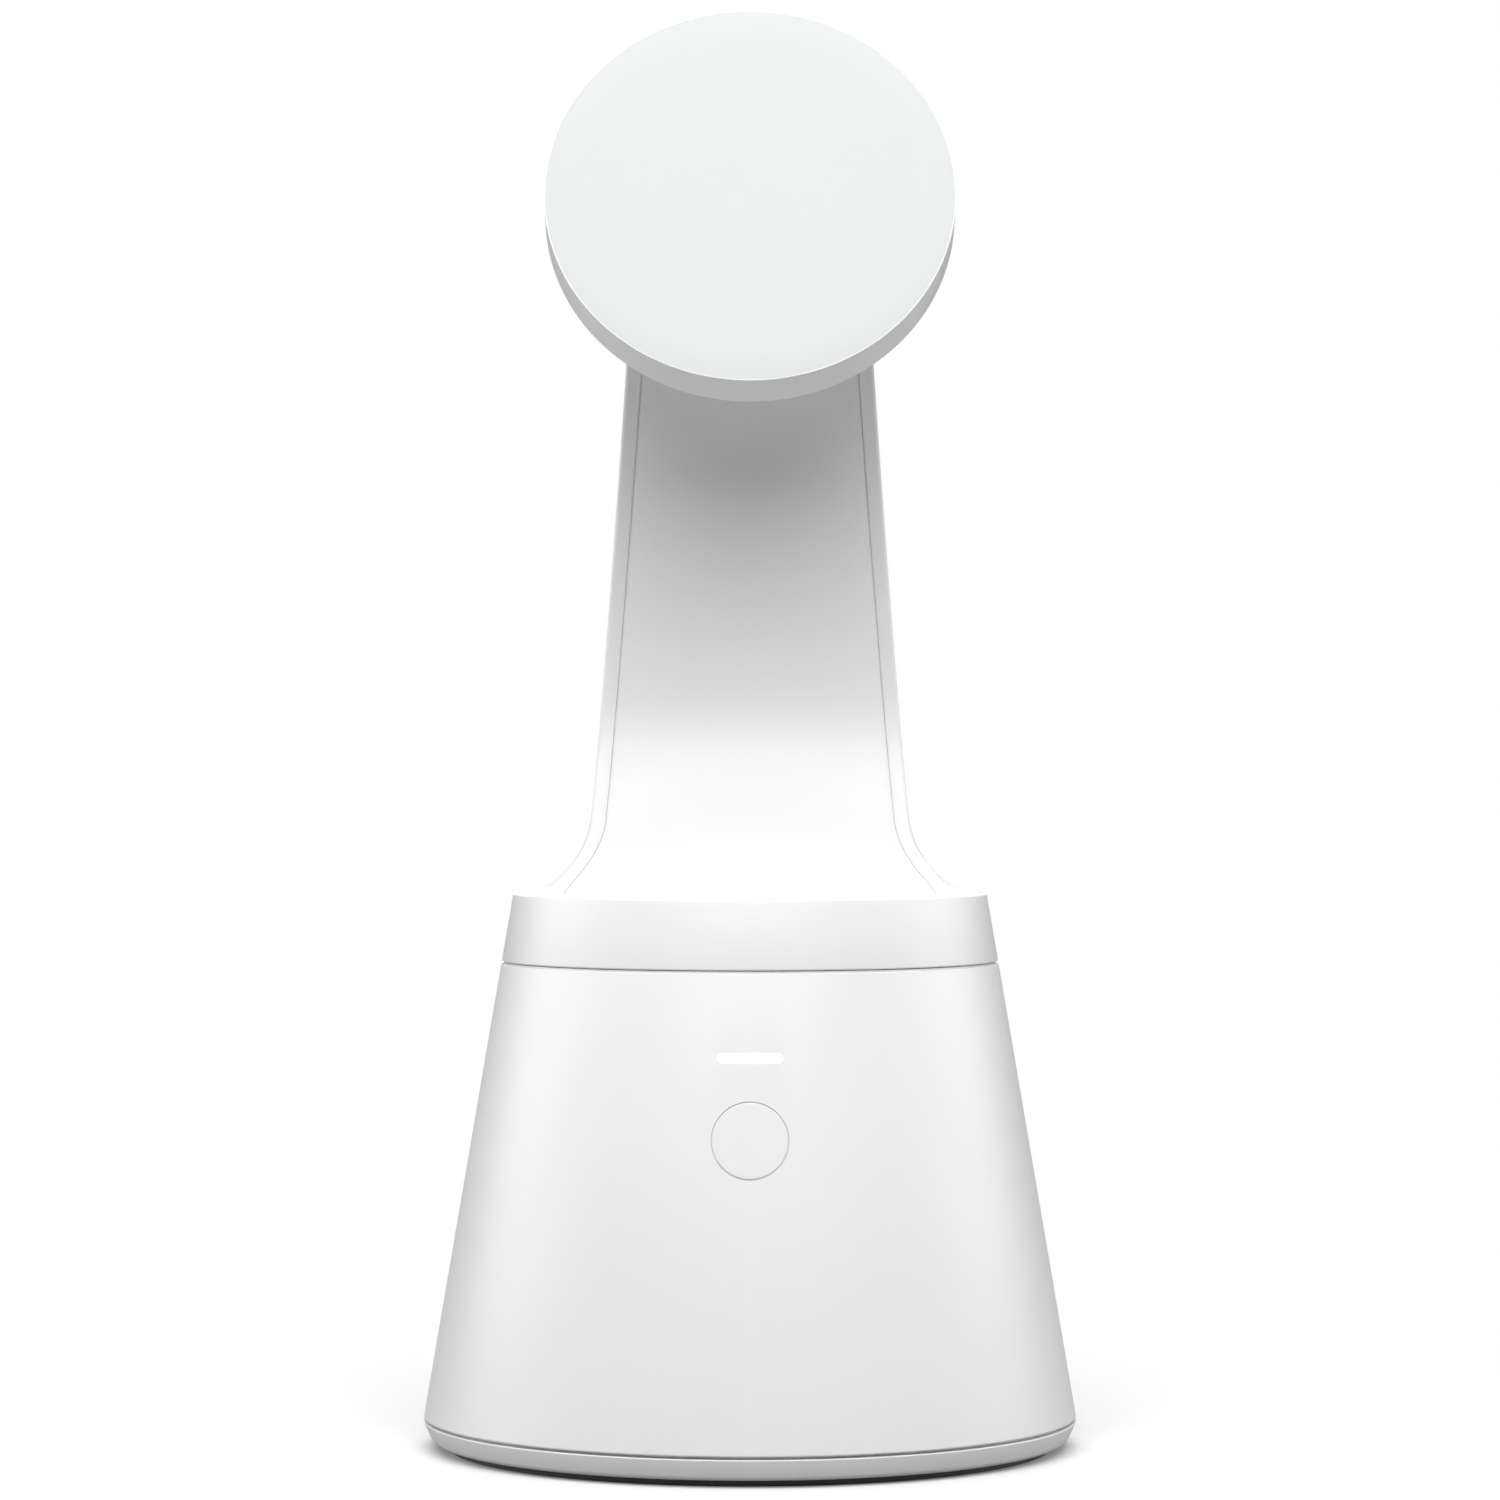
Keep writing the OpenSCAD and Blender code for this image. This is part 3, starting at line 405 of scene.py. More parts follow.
class SharedEffects:
    """Shader groups that more than one finish uses, each built once."""

    _made: dict[str, Tree] = {}

    @classmethod
    def get(cls, name: str) -> Tree:
        """The group of that name, built on its first use.

        Args:
            name: grain, wear or dust.

        Returns:
            The node group.
        """
        if name not in cls._made:
            cls._made[name] = getattr(cls, f"_{name}")()
        return cls._made[name]

    @staticmethod
    def _grain() -> Tree:
        """Fine tool grain: a height and a slow cloud value.

        Returns:
            The group.
        """
        tree = bpy.data.node_groups.new("fine_grain", "ShaderNodeTree")
        here, out = add_sockets(
            tree, {"Vector": Socket.VECTOR, "Scale": Socket.NUMBER, "Stretch": Socket.VECTOR},
            {"Height": Socket.NUMBER, "Cloud": Socket.NUMBER})
        vector, scale = here.outputs["Vector"], here.outputs["Scale"]
        drawn = add_node(tree, "ShaderNodeVectorMath", {0: vector, 1: here.outputs["Stretch"]},
                         operation="MULTIPLY").outputs[0]
        fine = noise_node(tree, drawn, scale, 3.0)
        broad = noise_node(tree, drawn, math_node(tree, "MULTIPLY", scale, 0.12), 2.0)
        height = math_node(tree, "MULTIPLY_ADD", broad, 0.6, math_node(tree, "MULTIPLY", fine, 0.4))
        feed(tree, out, {"Height": height, "Cloud": noise_node(tree, vector, 28.0, 3.0)})
        return tree

    @staticmethod
    def _wear() -> Tree:
        """Handling wear: a mask that is 1 on sharp outer edges, broken up.

        Returns:
            The group.
        """
        tree = bpy.data.node_groups.new("edge_wear", "ShaderNodeTree")
        here, out = add_sockets(tree, {"Vector": Socket.VECTOR, "Amount": Socket.NUMBER},
                                {"Mask": Socket.NUMBER})
        shape = add_node(tree, "ShaderNodeNewGeometry")
        edge = add_node(tree, "ShaderNodeMapRange",
                        {"From Min": 0.51, "From Max": 0.60, "Value": shape.outputs["Pointiness"]})
        patches = noise_node(tree, here.outputs["Vector"], 420.0, 4.0)
        broken = math_node(tree, "MULTIPLY", edge.outputs["Result"], patches)
        feed(tree, out, {"Mask": math_node(tree, "MULTIPLY", broken, here.outputs["Amount"])})
        return tree

    @staticmethod
    def _dust() -> Tree:
        """Settled dust: a mask that is 1 on level upward faces, in patches.

        Returns:
            The group.
        """
        tree = bpy.data.node_groups.new("settled_dust", "ShaderNodeTree")
        here, out = add_sockets(tree, {"Vector": Socket.VECTOR, "Amount": Socket.NUMBER},
                                {"Mask": Socket.NUMBER})
        shape = add_node(tree, "ShaderNodeNewGeometry")
        split = add_node(tree, "ShaderNodeSeparateXYZ", {0: shape.outputs["Normal"]})
        up = math_node(tree, "POWER", math_node(tree, "MAXIMUM", split.outputs["Z"], 0.0), 3.0)
        patches = noise_node(tree, here.outputs["Vector"], 900.0, 5.0)
        lying = math_node(tree, "MULTIPLY", up, patches)
        feed(tree, out, {"Mask": math_node(tree, "MULTIPLY", lying, here.outputs["Amount"])})
        return tree


# ---------------------------------------------------------------- finishes

DUST_COLOUR: Colour = (0.72, 0.70, 0.67)
DUST_ROUGH = 0.3
COAT_ROUGH = 0.12


class Marks(Enum):
    """Patterns that a finish can carry besides its grain."""

    NONE = "none"
    TRACKS = "tracks"
    WINDINGS = "windings"
    GLOW = "glow"
    # painted light: a faint glow painted onto a casing round a lamp, though the casing is no lamp
    PAINTED_GLOW_SPILL = "glow_spill"


@dataclass(frozen=True)
class Glow:
    """Light that shows at the light bar, or painted light spilled from it onto the casing: its middle and how far
    it reaches.
    """

    middle: Triple = (0.0, 0.0, 0.0)
    reach_x: float = 0.0
    reach_z: float = 0.0
    inner: float = 0.6
    strength: float = 1.0


@dataclass(frozen=True)
class Finish:
    """A procedural surface: colour, gloss, grain, wear, dust, and glow (a lamp's own, or painted light spill)."""

    name: str
    colour: Colour
    rough: float
    metal: float = 0.0
    coat: float = 0.0
    specular: float = 0.5
    sheen: float = 0.0
    grain_scale: float = 3200.0
    grain_depth: float = 0.004 * MM
    stretch: Triple = (1.0, 1.0, 1.0)
    shade: float = 0.03
    rough_play: float = 0.06
    wear: float = 0.1
    wear_colour: Colour = (0.97, 0.97, 0.97)
    dust: float = 0.05
    marks: Marks = Marks.NONE
    glow: Glow = Glow()

    def material(self) -> bpy.types.Material:
        """This finish's material, made on its first use."""
        known = bpy.data.materials.get(self.name)
        return known if known else self._build()

    def _build(self) -> bpy.types.Material:
        """Make the material's nodes.

        Returns:
            The new material.
        """
        material = bpy.data.materials.new(self.name)
        material.use_nodes = True
        material.diffuse_color = (*self.colour, 1.0)
        tree = material.node_tree
        shader = tree.nodes["Principled BSDF"]
        where = add_node(tree, "ShaderNodeTexCoord").outputs["Object"]
        grain = self._group(tree, "grain", {"Vector": where, "Scale": self.grain_scale,
                                            "Stretch": self.stretch})
        wear = self._group(tree, "wear", {"Vector": where, "Amount": self.wear})
        dust = self._group(tree, "dust", {"Vector": where, "Amount": self.dust})
        colour = self._marked(tree, where, self._shaded(tree, grain.outputs["Cloud"]))
        colour = self._mixed(tree, wear.outputs["Mask"], colour, self.wear_colour)
        colour = self._mixed(tree, dust.outputs["Mask"], colour, DUST_COLOUR)
        play = math_node(tree, "MULTIPLY_ADD", grain.outputs["Cloud"], self.rough_play,
                         self.rough - self.rough_play / 2)
        dull = math_node(tree, "MULTIPLY", dust.outputs["Mask"], DUST_ROUGH)
        bump = add_node(tree, "ShaderNodeBump", {"Strength": 0.5, "Distance": self.grain_depth,
                                                 "Height": grain.outputs["Height"]})
        feed(tree, shader, {
            "Specular IOR Level": self.specular, "Coat Weight": self.coat,
            "Coat Roughness": COAT_ROUGH, "Sheen Weight": self.sheen, "Metallic": self.metal,
            "Base Color": colour, "Roughness": math_node(tree, "ADD", play, dull),
            "Normal": bump.outputs["Normal"]})
        self._lit(tree, where, shader)
        return material

    def _group(self, tree: Tree, name: str,
               inputs: Inputs) -> Node:
        """Place a shared group with its inputs."""
        return add_node(tree, "ShaderNodeGroup", inputs, node_tree=SharedEffects.get(name))

    def _mixed(self, tree: Tree, mask: Link,
               under: Link, over: Colour) -> Link:
        """Lay a colour over another by a mask.

        Args:
            tree: The material's tree.
            mask: Share of the upper colour.
            under: The lower colour.
            over: The upper colour.

        Returns:
            The mixed colour.
        """
        mix = add_node(tree, "ShaderNodeMix", {"Factor": mask, 6: under, 7: (*over, 1.0)},
                       data_type="RGBA")
        return mix.outputs[2]

    def _shaded(self, tree: Tree,
                cloud: Link) -> Link:
        """The base colour, varied slowly by a cloud value.

        Args:
            tree: The material's tree.
            cloud: The cloud value.

        Returns:
            The varied colour.
        """
        ramp = tree.nodes.new("ShaderNodeValToRGB")
        low = tuple(c * (1 - self.shade) for c in self.colour)
        high = tuple(min(1.0, c * (1 + self.shade / 2)) for c in self.colour)
        ramp.color_ramp.elements[0].position = 0.3
        ramp.color_ramp.elements[0].color = (*low, 1.0)
        ramp.color_ramp.elements[1].position = 0.7
        ramp.color_ramp.elements[1].color = (*high, 1.0)
        tree.links.new(cloud, ramp.inputs["Fac"])
        return ramp.outputs["Color"]

    def _marked(self, tree: Tree, where: Link,
                colour: Link) -> Link:
        """Add this finish's tracks or windings to the colour.

        Args:
            tree: The material's tree.
            where: Coordinates.
            colour: The colour so far.

        Returns:
            The colour with the pattern.
        """
        black = (0.0, 0.0, 0.0, 1.0)
        if self.marks is Marks.TRACKS:
            brick = add_node(tree, "ShaderNodeTexBrick", {
                "Scale": 260.0, "Mortar Size": 0.035, "Color1": black, "Color2": black,
                "Mortar": (1.0, 1.0, 1.0, 1.0), "Vector": where})
            return self._mixed(tree, math_node(tree, "MULTIPLY", brick.outputs["Color"], 0.6),
                               colour, (0.16, 0.42, 0.2))
        if self.marks is Marks.WINDINGS:
            wave = add_node(tree, "ShaderNodeTexWave",
                            {"Scale": 900.0, "Distortion": 1.5, "Vector": where},
                            bands_direction="Z")
            return self._mixed(tree, math_node(tree, "MULTIPLY", wave.outputs["Fac"], 0.7),
                               colour, (0.25, 0.09, 0.04))
        return colour

    def _lit(self, tree: Tree, where: Link,
             shader: Node) -> None:
        """Light the glowing part of a finish, brightest round the glow's middle: the light guide's own glow, or
        painted light spill on the casing round it.

        Args:
            tree: The material's tree.
            where: Coordinates.
            shader: The material's Principled node.
        """
        if self.marks not in (Marks.GLOW, Marks.PAINTED_GLOW_SPILL):
            return
        glow = self.glow
        shift = add_node(tree, "ShaderNodeVectorMath", {0: where, 1: glow.middle},
                         operation="SUBTRACT")
        spread = add_node(tree, "ShaderNodeVectorMath",
                          {0: shift.outputs[0], 1: (1 / glow.reach_x, 0.0, 1 / glow.reach_z)},
                          operation="MULTIPLY")
        length = add_node(tree, "ShaderNodeVectorMath", {0: spread.outputs[0]}, operation="LENGTH")
        fade = add_node(tree, "ShaderNodeMapRange",
                        {"From Min": glow.inner, "From Max": 1.0, "To Min": 1.0, "To Max": 0.0,
                         "Value": length.outputs["Value"]}, interpolation_type="SMOOTHSTEP")
        split = add_node(tree, "ShaderNodeSeparateXYZ", {0: where})
        front = math_node(tree, "LESS_THAN", split.outputs["Y"], 0.0)
        mask = math_node(tree, "MULTIPLY", fade.outputs["Result"], front)
        tint = add_node(tree, "ShaderNodeCombineColor", {0: mask, 1: mask, 2: mask})
        feed(tree, shader, {"Emission Color": tint.outputs[0], "Emission Strength": glow.strength})


WHITE: Colour = (0.8, 0.8, 0.8)

INNER_FINISHES: dict[str, Finish] = {
    "casing": Finish("casing_inside", WHITE, 0.42),
    "casing_inner": Finish("moulded_inside", (0.80, 0.80, 0.79), 0.55, grain_depth=0.01 * MM),
    "silicone": Finish("silicone_inside", (0.80, 0.815, 0.81), 0.62, sheen=0.2),
    "foot_rubber": Finish("foot_rubber", (0.045, 0.045, 0.047), 0.82, specular=0.3,
                          grain_depth=0.02 * MM, dust=0.25, wear_colour=(0.12, 0.12, 0.12)),
    "button_cap": Finish("button_inside", WHITE, 0.42),
    "light_lens": Finish("lens_inside", (0.9, 0.9, 0.9), 0.3, coat=0.3),
    "dark_plastic": Finish("dark_plastic", (0.022, 0.022, 0.024), 0.48, grain_depth=0.012 * MM,
                           wear_colour=(0.14, 0.14, 0.14)),
    "gear_plastic": Finish("gear_acetal", (0.82, 0.78, 0.66), 0.36, grain_scale=1400.0),
    "steel": Finish("plated_steel", (0.56, 0.56, 0.57), 0.32, metal=1.0, grain_scale=1800.0,
                    stretch=(1.0, 1.0, 0.08), shade=0.12, rough_play=0.14, wear=0.5),
    "bearing_steel": Finish("bearing_steel", (0.66, 0.66, 0.67), 0.12, metal=1.0, shade=0.05,
                            stretch=(1.0, 1.0, 6.0)),
    "cast_alloy": Finish("cast_alloy", (0.52, 0.53, 0.54), 0.46, metal=1.0, grain_scale=900.0,
                         grain_depth=0.03 * MM, shade=0.12, rough_play=0.12, wear=0.4),
    "painted_alloy": Finish("coated_alloy", (0.80, 0.80, 0.80), 0.48, grain_scale=1500.0,
                            grain_depth=0.012 * MM, wear=0.3, wear_colour=(0.6, 0.6, 0.61)),
    "magnet": Finish("nickel_plate", (0.46, 0.455, 0.44), 0.24, metal=1.0, shade=0.08),
    "brass": Finish("turned_brass", (0.66, 0.47, 0.19), 0.28, metal=1.0, grain_scale=2200.0,
                    stretch=(0.1, 0.1, 1.0), shade=0.1, wear_colour=(0.8, 0.66, 0.4)),
    "bronze": Finish("sintered_bronze", (0.42, 0.26, 0.12), 0.5, metal=1.0, grain_scale=2600.0,
                     grain_depth=0.02 * MM, shade=0.2, wear_colour=(0.6, 0.42, 0.24)),
    "copper": Finish("copper_winding", (0.62, 0.26, 0.12), 0.3, metal=0.8, coat=0.4,
                     marks=Marks.WINDINGS),
    "board_green": Finish("solder_mask", (0.015, 0.12, 0.045), 0.28, coat=0.5,
                          marks=Marks.TRACKS, wear_colour=(0.3, 0.4, 0.25)),
    "chip_black": Finish("moulded_black", (0.016, 0.016, 0.017), 0.55, grain_depth=0.01 * MM,
                         wear_colour=(0.08, 0.08, 0.08)),
    "cell_wrap": Finish("cell_sleeve", (0.03, 0.07, 0.2), 0.22, coat=0.6, shade=0.1,
                        wear_colour=(0.3, 0.35, 0.45)),
    "lead_jacket": Finish("lead_jacket", (0.42, 0.02, 0.015), 0.5, grain_scale=1200.0,
                          wear_colour=(0.6, 0.2, 0.2)),
    "flat_cable": Finish("polyimide_film", (0.52, 0.3, 0.06), 0.3, coat=0.5,
                         stretch=(0.2, 1.0, 1.0), shade=0.15, wear_colour=(0.7, 0.5, 0.25)),
    "led_body": Finish("diode_body", (0.85, 0.8, 0.55), 0.3, coat=0.4),
}


# ---------------------------------------------------------------- sizes from the frame

@dataclass(frozen=True)
class Layout:
    """Main levels and radii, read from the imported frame."""

    base_r: float
    rim_top: float
    casing_foot: float
    casing_top: float
    collar_foot: float
    collar_foot_r: float
    deck_z: float
    slope: float
    hinge: Point
    disc_r: float
    disc_t: float
    face: Vector
    out: Vector
    press: Vector
    lamp_z: float
    socket: Vector
    socket_r: float

    @classmethod
    def read(cls) -> "Layout":
        """Work the sizes out from boxes, joints and mounts.

        Returns:
            The filled layout.
        """
        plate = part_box("bottom_plate")
        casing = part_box("base_shell")
        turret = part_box("turret_shell")
        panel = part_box("arm_front_panel")
        joints = {j["name"]: j for j in frame["joints"]}
        mounts = {m["name"]: m for m in frame["record"]["mounts"]}
        face = mounts["phone_face"]
        out = Vector(face["axis"]).normalized()
        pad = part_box("head_housing")
        disc_r = (pad[1].x - pad[0].x) / 2
        tall = pad[1].z - pad[0].z
        disc_t = (tall - 2 * disc_r * -out.y) / out.z
        base_r = plate[1].x
        collar_r = turret[1].x
        slope = (base_r - collar_r) / (turret[0].z - casing[0].z)
        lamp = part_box("light_bar")
        socket = mounts["power_socket"]
        deck_z = panel[0].z + SHEET_T
        return cls(
            base_r=base_r, rim_top=casing[0].z, casing_foot=casing[0].z + SEAM,
            casing_top=casing[1].z, collar_foot=turret[0].z, collar_foot_r=collar_r,
            deck_z=deck_z, slope=slope,
            hinge=(joints["head_tilt"]["pos_m"][1], joints["head_tilt"]["pos_m"][2]),
            disc_r=disc_r, disc_t=disc_t,
            face=Vector(face["pos_m"]), out=out,
            press=Vector(joints["button_press"]["axis"]),
            lamp_z=(lamp[0].z + lamp[1].z) / 2, socket=Vector(socket["pos_m"]),
            socket_r=socket["dims"]["r_mm"] * MM)

    def radius(self, z: float) -> float:
        """Outer radius of the cone at a height."""
        return self.collar_foot_r + self.slope * (self.collar_foot - z)

    def on_cone(self, x: float, z: float) -> Vector:
        """The point on the front of the cone at a place across and a height."""
        r = self.radius(z)
        return Vector((x, -math.sqrt(max(r * r - x * x, 0.0)), z))

    def front_frame(self, z: float) -> Matrix:
        """Frame on the cone's front: +Z out of the wall, +Y up along it.

        Args:
            z: Height of its origin.

        Returns:
            The frame.
        """
        back = self.press.normalized()
        up = Vector((1, 0, 0)).cross(back) * -1
        turn = Matrix((Vector((1, 0, 0)), up, -back)).transposed().to_4x4()
        return Matrix.Translation(self.on_cone(0.0, z)) @ turn

    def disc_frame(self) -> Matrix:
        """Frame of the disc: origin at its face's middle, +Z out of the face.

        Returns:
            The frame.
        """
        up = self.out.cross(Vector((1, 0, 0)))
        turn = Matrix((Vector((1, 0, 0)), up, self.out)).transposed().to_4x4()
        return Matrix.Translation(self.face) @ turn


SEAM = 0.4 * MM
SHEET_T = 1.6 * MM


# ---------------------------------------------------------------- repeats

class Repeats:
    """Geometry Nodes trees for what repeats, each built once."""

    _made: dict[str, Tree] = {}

    @classmethod
    def get(cls, name: str) -> Tree:
        """The tree of that name, built on its first use.

        Args:
            name: ring, row or seats.

        Returns:
            The tree.
        """
        if name not in cls._made:
            cls._made[name] = getattr(cls, f"_{name}")()
        return cls._made[name]

    @staticmethod
    def _start(name: str, inputs: dict[str, Socket]) -> tuple[Tree, Node,
                                                              Node]:
        """A new tree with geometry in and out, its own inputs and a material.

        Args:
            name: Name of the tree.
            inputs: Name and kind of each input of its own.

        Returns:
            The tree, its input node and its output node.
        """
        tree = bpy.data.node_groups.new(name, "GeometryNodeTree")
        sockets = {"Geometry": Socket.SHAPE, **inputs, "Material": Socket.FINISH}
        return (tree, *add_sockets(tree, sockets, {"Geometry": Socket.SHAPE}))

    @staticmethod
    def _end(tree: Tree, here: Node, out: Node,
             copies: Inputs) -> Tree:
        """End a tree in copies on points, Realize Instances and Set Material.

        Args:
            tree: The tree.
            here: Its input node.
            out: Its output node.
            copies: Inputs of Instance on Points.

        Returns:
            The finished tree.
        """
        placed = add_node(tree, "GeometryNodeInstanceOnPoints", copies)
        real = add_node(tree, "GeometryNodeRealizeInstances", {0: placed.outputs[0]})
        paint = add_node(tree, "GeometryNodeSetMaterial",
                         {"Geometry": real.outputs[0], "Material": here.outputs["Material"]})
        feed(tree, out, {"Geometry": paint.outputs[0]})
        return tree

    @classmethod
    def _ring(cls) -> Tree:
        """Copies of the piece round +Z, each turned to point outwards.

        Returns:
            The tree.
        """
        tree, here, out = cls._start("set_round_a_ring",
                                     {"Count": Socket.COUNT, "Radius": Socket.NUMBER})
        circle = add_node(tree, "GeometryNodeMeshCircle", {"Vertices": here.outputs["Count"],
                                                           "Radius": here.outputs["Radius"]})
        place = add_node(tree, "GeometryNodeInputPosition")
        split = add_node(tree, "ShaderNodeSeparateXYZ", {0: place.outputs[0]})
        turn = add_node(tree, "ShaderNodeCombineXYZ", {
            "Z": math_node(tree, "ARCTAN2", split.outputs["Y"], split.outputs["X"])})
        return cls._end(tree, here, out, {
            "Points": circle.outputs[0], "Instance": here.outputs["Geometry"],
            "Rotation": turn.outputs[0]})

    @classmethod
    def _row(cls) -> Tree:
        """Copies of the piece in a straight row along Y.

        Returns:
            The tree.
        """
        tree, here, out = cls._start("set_in_a_row",
                                     {"Count": Socket.COUNT, "Pitch": Socket.NUMBER})
        step = add_node(tree, "ShaderNodeCombineXYZ", {"Y": here.outputs["Pitch"]})
        line = add_node(tree, "GeometryNodeMeshLine", {"Count": here.outputs["Count"],
                                                       "Offset": step.outputs[0]})
        return cls._end(tree, here, out, {"Points": line.outputs[0],
                                          "Instance": here.outputs["Geometry"]})

    @classmethod
    def _seats(cls) -> Tree:
        """Cross-recessed screw heads, looking down -Z, on the piece's points.

        Returns:
            The tree.
        """
        tree, here, out = cls._start("screws_on_seats", {
            "Head Radius": Socket.NUMBER, "Head Height": Socket.NUMBER,
            "Recess Width": Socket.NUMBER})
        radius, height = here.outputs["Head Radius"], here.outputs["Head Height"]
        head = add_node(tree, "GeometryNodeMeshCone", {
            "Vertices": 40, "Radius Top": radius, "Depth": height,
            "Radius Bottom": math_node(tree, "MULTIPLY", radius, 0.86)})
        cut = add_node(tree, "GeometryNodeMeshBoolean", {"Mesh 1": head.outputs["Mesh"]},
                       operation="DIFFERENCE")
        for long, short in (("X", "Y"), ("Y", "X")):
            size = add_node(tree, "ShaderNodeCombineXYZ", {
                long: math_node(tree, "MULTIPLY", radius, 1.1),
                short: here.outputs["Recess Width"], "Z": height})
            bar = add_node(tree, "GeometryNodeMeshCube", {"Size": size.outputs[0]})
            low = add_node(tree, "ShaderNodeCombineXYZ",
                           {"Z": math_node(tree, "MULTIPLY", height, -0.3)})
            drop = add_node(tree, "GeometryNodeTransform", {"Geometry": bar.outputs["Mesh"],
                                                            "Translation": low.outputs[0]})
            feed(tree, cut, {"Mesh 2": drop.outputs[0]})
        return cls._end(tree, here, out, {"Points": here.outputs["Geometry"],
                                          "Instance": cut.outputs["Mesh"]})


def repeated(piece: Piece, tree: str, values: dict[str, object]) -> None:
    """Run a repeat tree on a piece and keep the result as a plain mesh.

    Args:
        piece: The piece whose mesh is the tree's input.
        tree: Name of the tree.
        values: Value of each named input.
    """
    group = Repeats.get(tree)
    modifier = piece.modifiers.new(tree, "NODES")
    modifier.node_group = group
    for item in group.interface.items_tree:
        if item.in_out == "INPUT" and item.name in values:
            modifier[item.identifier] = values[item.name]
    plain_mesh(piece)


# ---------------------------------------------------------------- base

@dataclass
class Base:
    """The fixed base: casing, bottom plate, foot, light bar and screws."""

    plan: Layout
    wall: float = 2.4 * MM
    edge: float = 0.22 * MM
    lip_in: float = 0.42 * MM
    lip_h: float = 0.3 * MM
    button_hole_r: float = 5.36 * MM
    lamp_half: float = 4.55 * MM
    lamp_half_h: float = 0.65 * MM
    rim_foot: float = 1.0 * MM
    rim_draft: float = 1.35 * MM
    rim_round: float = 1.25 * MM
    foot_inner: float = 39.7 * MM
    foot_outer: float = 43.2 * MM
    floor_z: float = 1.4 * MM

    def build(self) -> list[Piece]:
        """Make every piece of the base.

        Returns:
            The pieces, already riding on their bodies.
        """
        return [self.casing(), self.bottom_plate(), self.foot(), self.light_bar(),
                self.screws(), *self.door()]

    def glow(self, reach_x: float, reach_z: float, inner: float, strength: float) -> Glow:
        """A glow round the light bar's middle.

        Args:
            reach_x: How far it reaches sideways.
            reach_z: How far it reaches up and down.
            inner: Share of the reach that is at full strength.
            strength: Its strength.

        Returns:
            The glow.
        """
        middle = self.plan.on_cone(0.0, self.plan.lamp_z)
        return Glow(tuple(middle), reach_x, reach_z, inner, strength)

    def casing(self) -> Piece:
        """The cone-shaped casing with its button hole, window and socket.

        Returns:
            The piece that stands for base_shell.
        """
        p = self.plan
        foot, top = p.casing_foot, p.casing_top
        foot_r, top_r = p.radius(foot), p.radius(top)
        step = 1.1 * MM
        outline = rounded([
            (foot_r - self.wall, p.rim_top, 0.0),
            (foot_r - step, p.rim_top, 0.0),
            (foot_r - step, foot, 0.0),
            (foot_r, foot, self.edge),
            (top_r, top, self.edge * 0.6),
            (top_r - self.lip_in, top, 0.0),
            (top_r - self.lip_in, top + self.lip_h, 0.05 * MM),
            (top_r - self.lip_in - 1 * MM, top + self.lip_h, 0.05 * MM),
            (top_r - self.lip_in - 1 * MM, top, 0.0),
            (17 * MM, top, 0.3 * MM),
            (17 * MM, top - self.wall, 0.0),
            (top_r - self.wall, top - self.wall, 0.0)])
        # Painted light: the casing emits a faint glow round the light bar's window, a painted spill of the bar's
        # light on a part that is no lamp.
        finish = Finish("satin_casing", WHITE, 0.4, marks=Marks.PAINTED_GLOW_SPILL, shade=0.012,
                        glow=self.glow(6.2 * MM, 1.4 * MM, 0.3, 0.06))
        piece = make_piece("casing_shell", Skin().turned(outline, 256), finish)
        lip = 0.12 * MM
        hole = rounded([(0.0, -5 * MM, 0.0), (self.button_hole_r, -5 * MM, 0.0),
                        (self.button_hole_r, -lip * 2, 0.0),
                        (self.button_hole_r + lip * 3, 2 * MM, 0.0), (0.0, 2 * MM, 0.0)])
        window = Skin().prism(self.lamp_outline(0.015 * MM), -4 * MM, 2 * MM)
        r = p.socket_r
        deep, wide = -6 * MM, 4 * MM
        mouth = p.radius(p.socket.z) - p.socket.y
        bore = [(0.0, deep), (r, deep), (r, mouth - 0.5 * MM), (r + wide, mouth - 0.5 * MM + wide),
                (0.0, mouth - 0.5 * MM + wide)]
        back = Matrix.Translation(p.socket) @ Matrix.Rotation(math.radians(-90), 4, "X")
        carve(piece, [
            Skin().turned(hole, 96).moved(p.front_frame(self.button_z())),
            window.moved(p.front_frame(p.lamp_z)),
            Skin().turned(bore, 96).moved(back)])
        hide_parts("base_shell")
        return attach(piece, "base")

    def button_z(self) -> float:
        """Height of the button's middle on the cone."""
        low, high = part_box("power_button")
        return high.z - (high.x - low.x) / 2 * math.cos(math.atan(self.plan.slope))

    def lamp_outline(self, grow: float = 0.0) -> list[Point]:
        """Outline of the light bar, a bar with round ends.

        Args:
            grow: How far outside the bar it lies.

        Returns:
            The points of the outline.
        """
        h = self.lamp_half_h + grow
        mid = self.lamp_half - self.lamp_half_h
        return arc((mid, 0.0), h, -90, 90, 12) + arc((-mid, 0.0), h, 90, 270, 12)

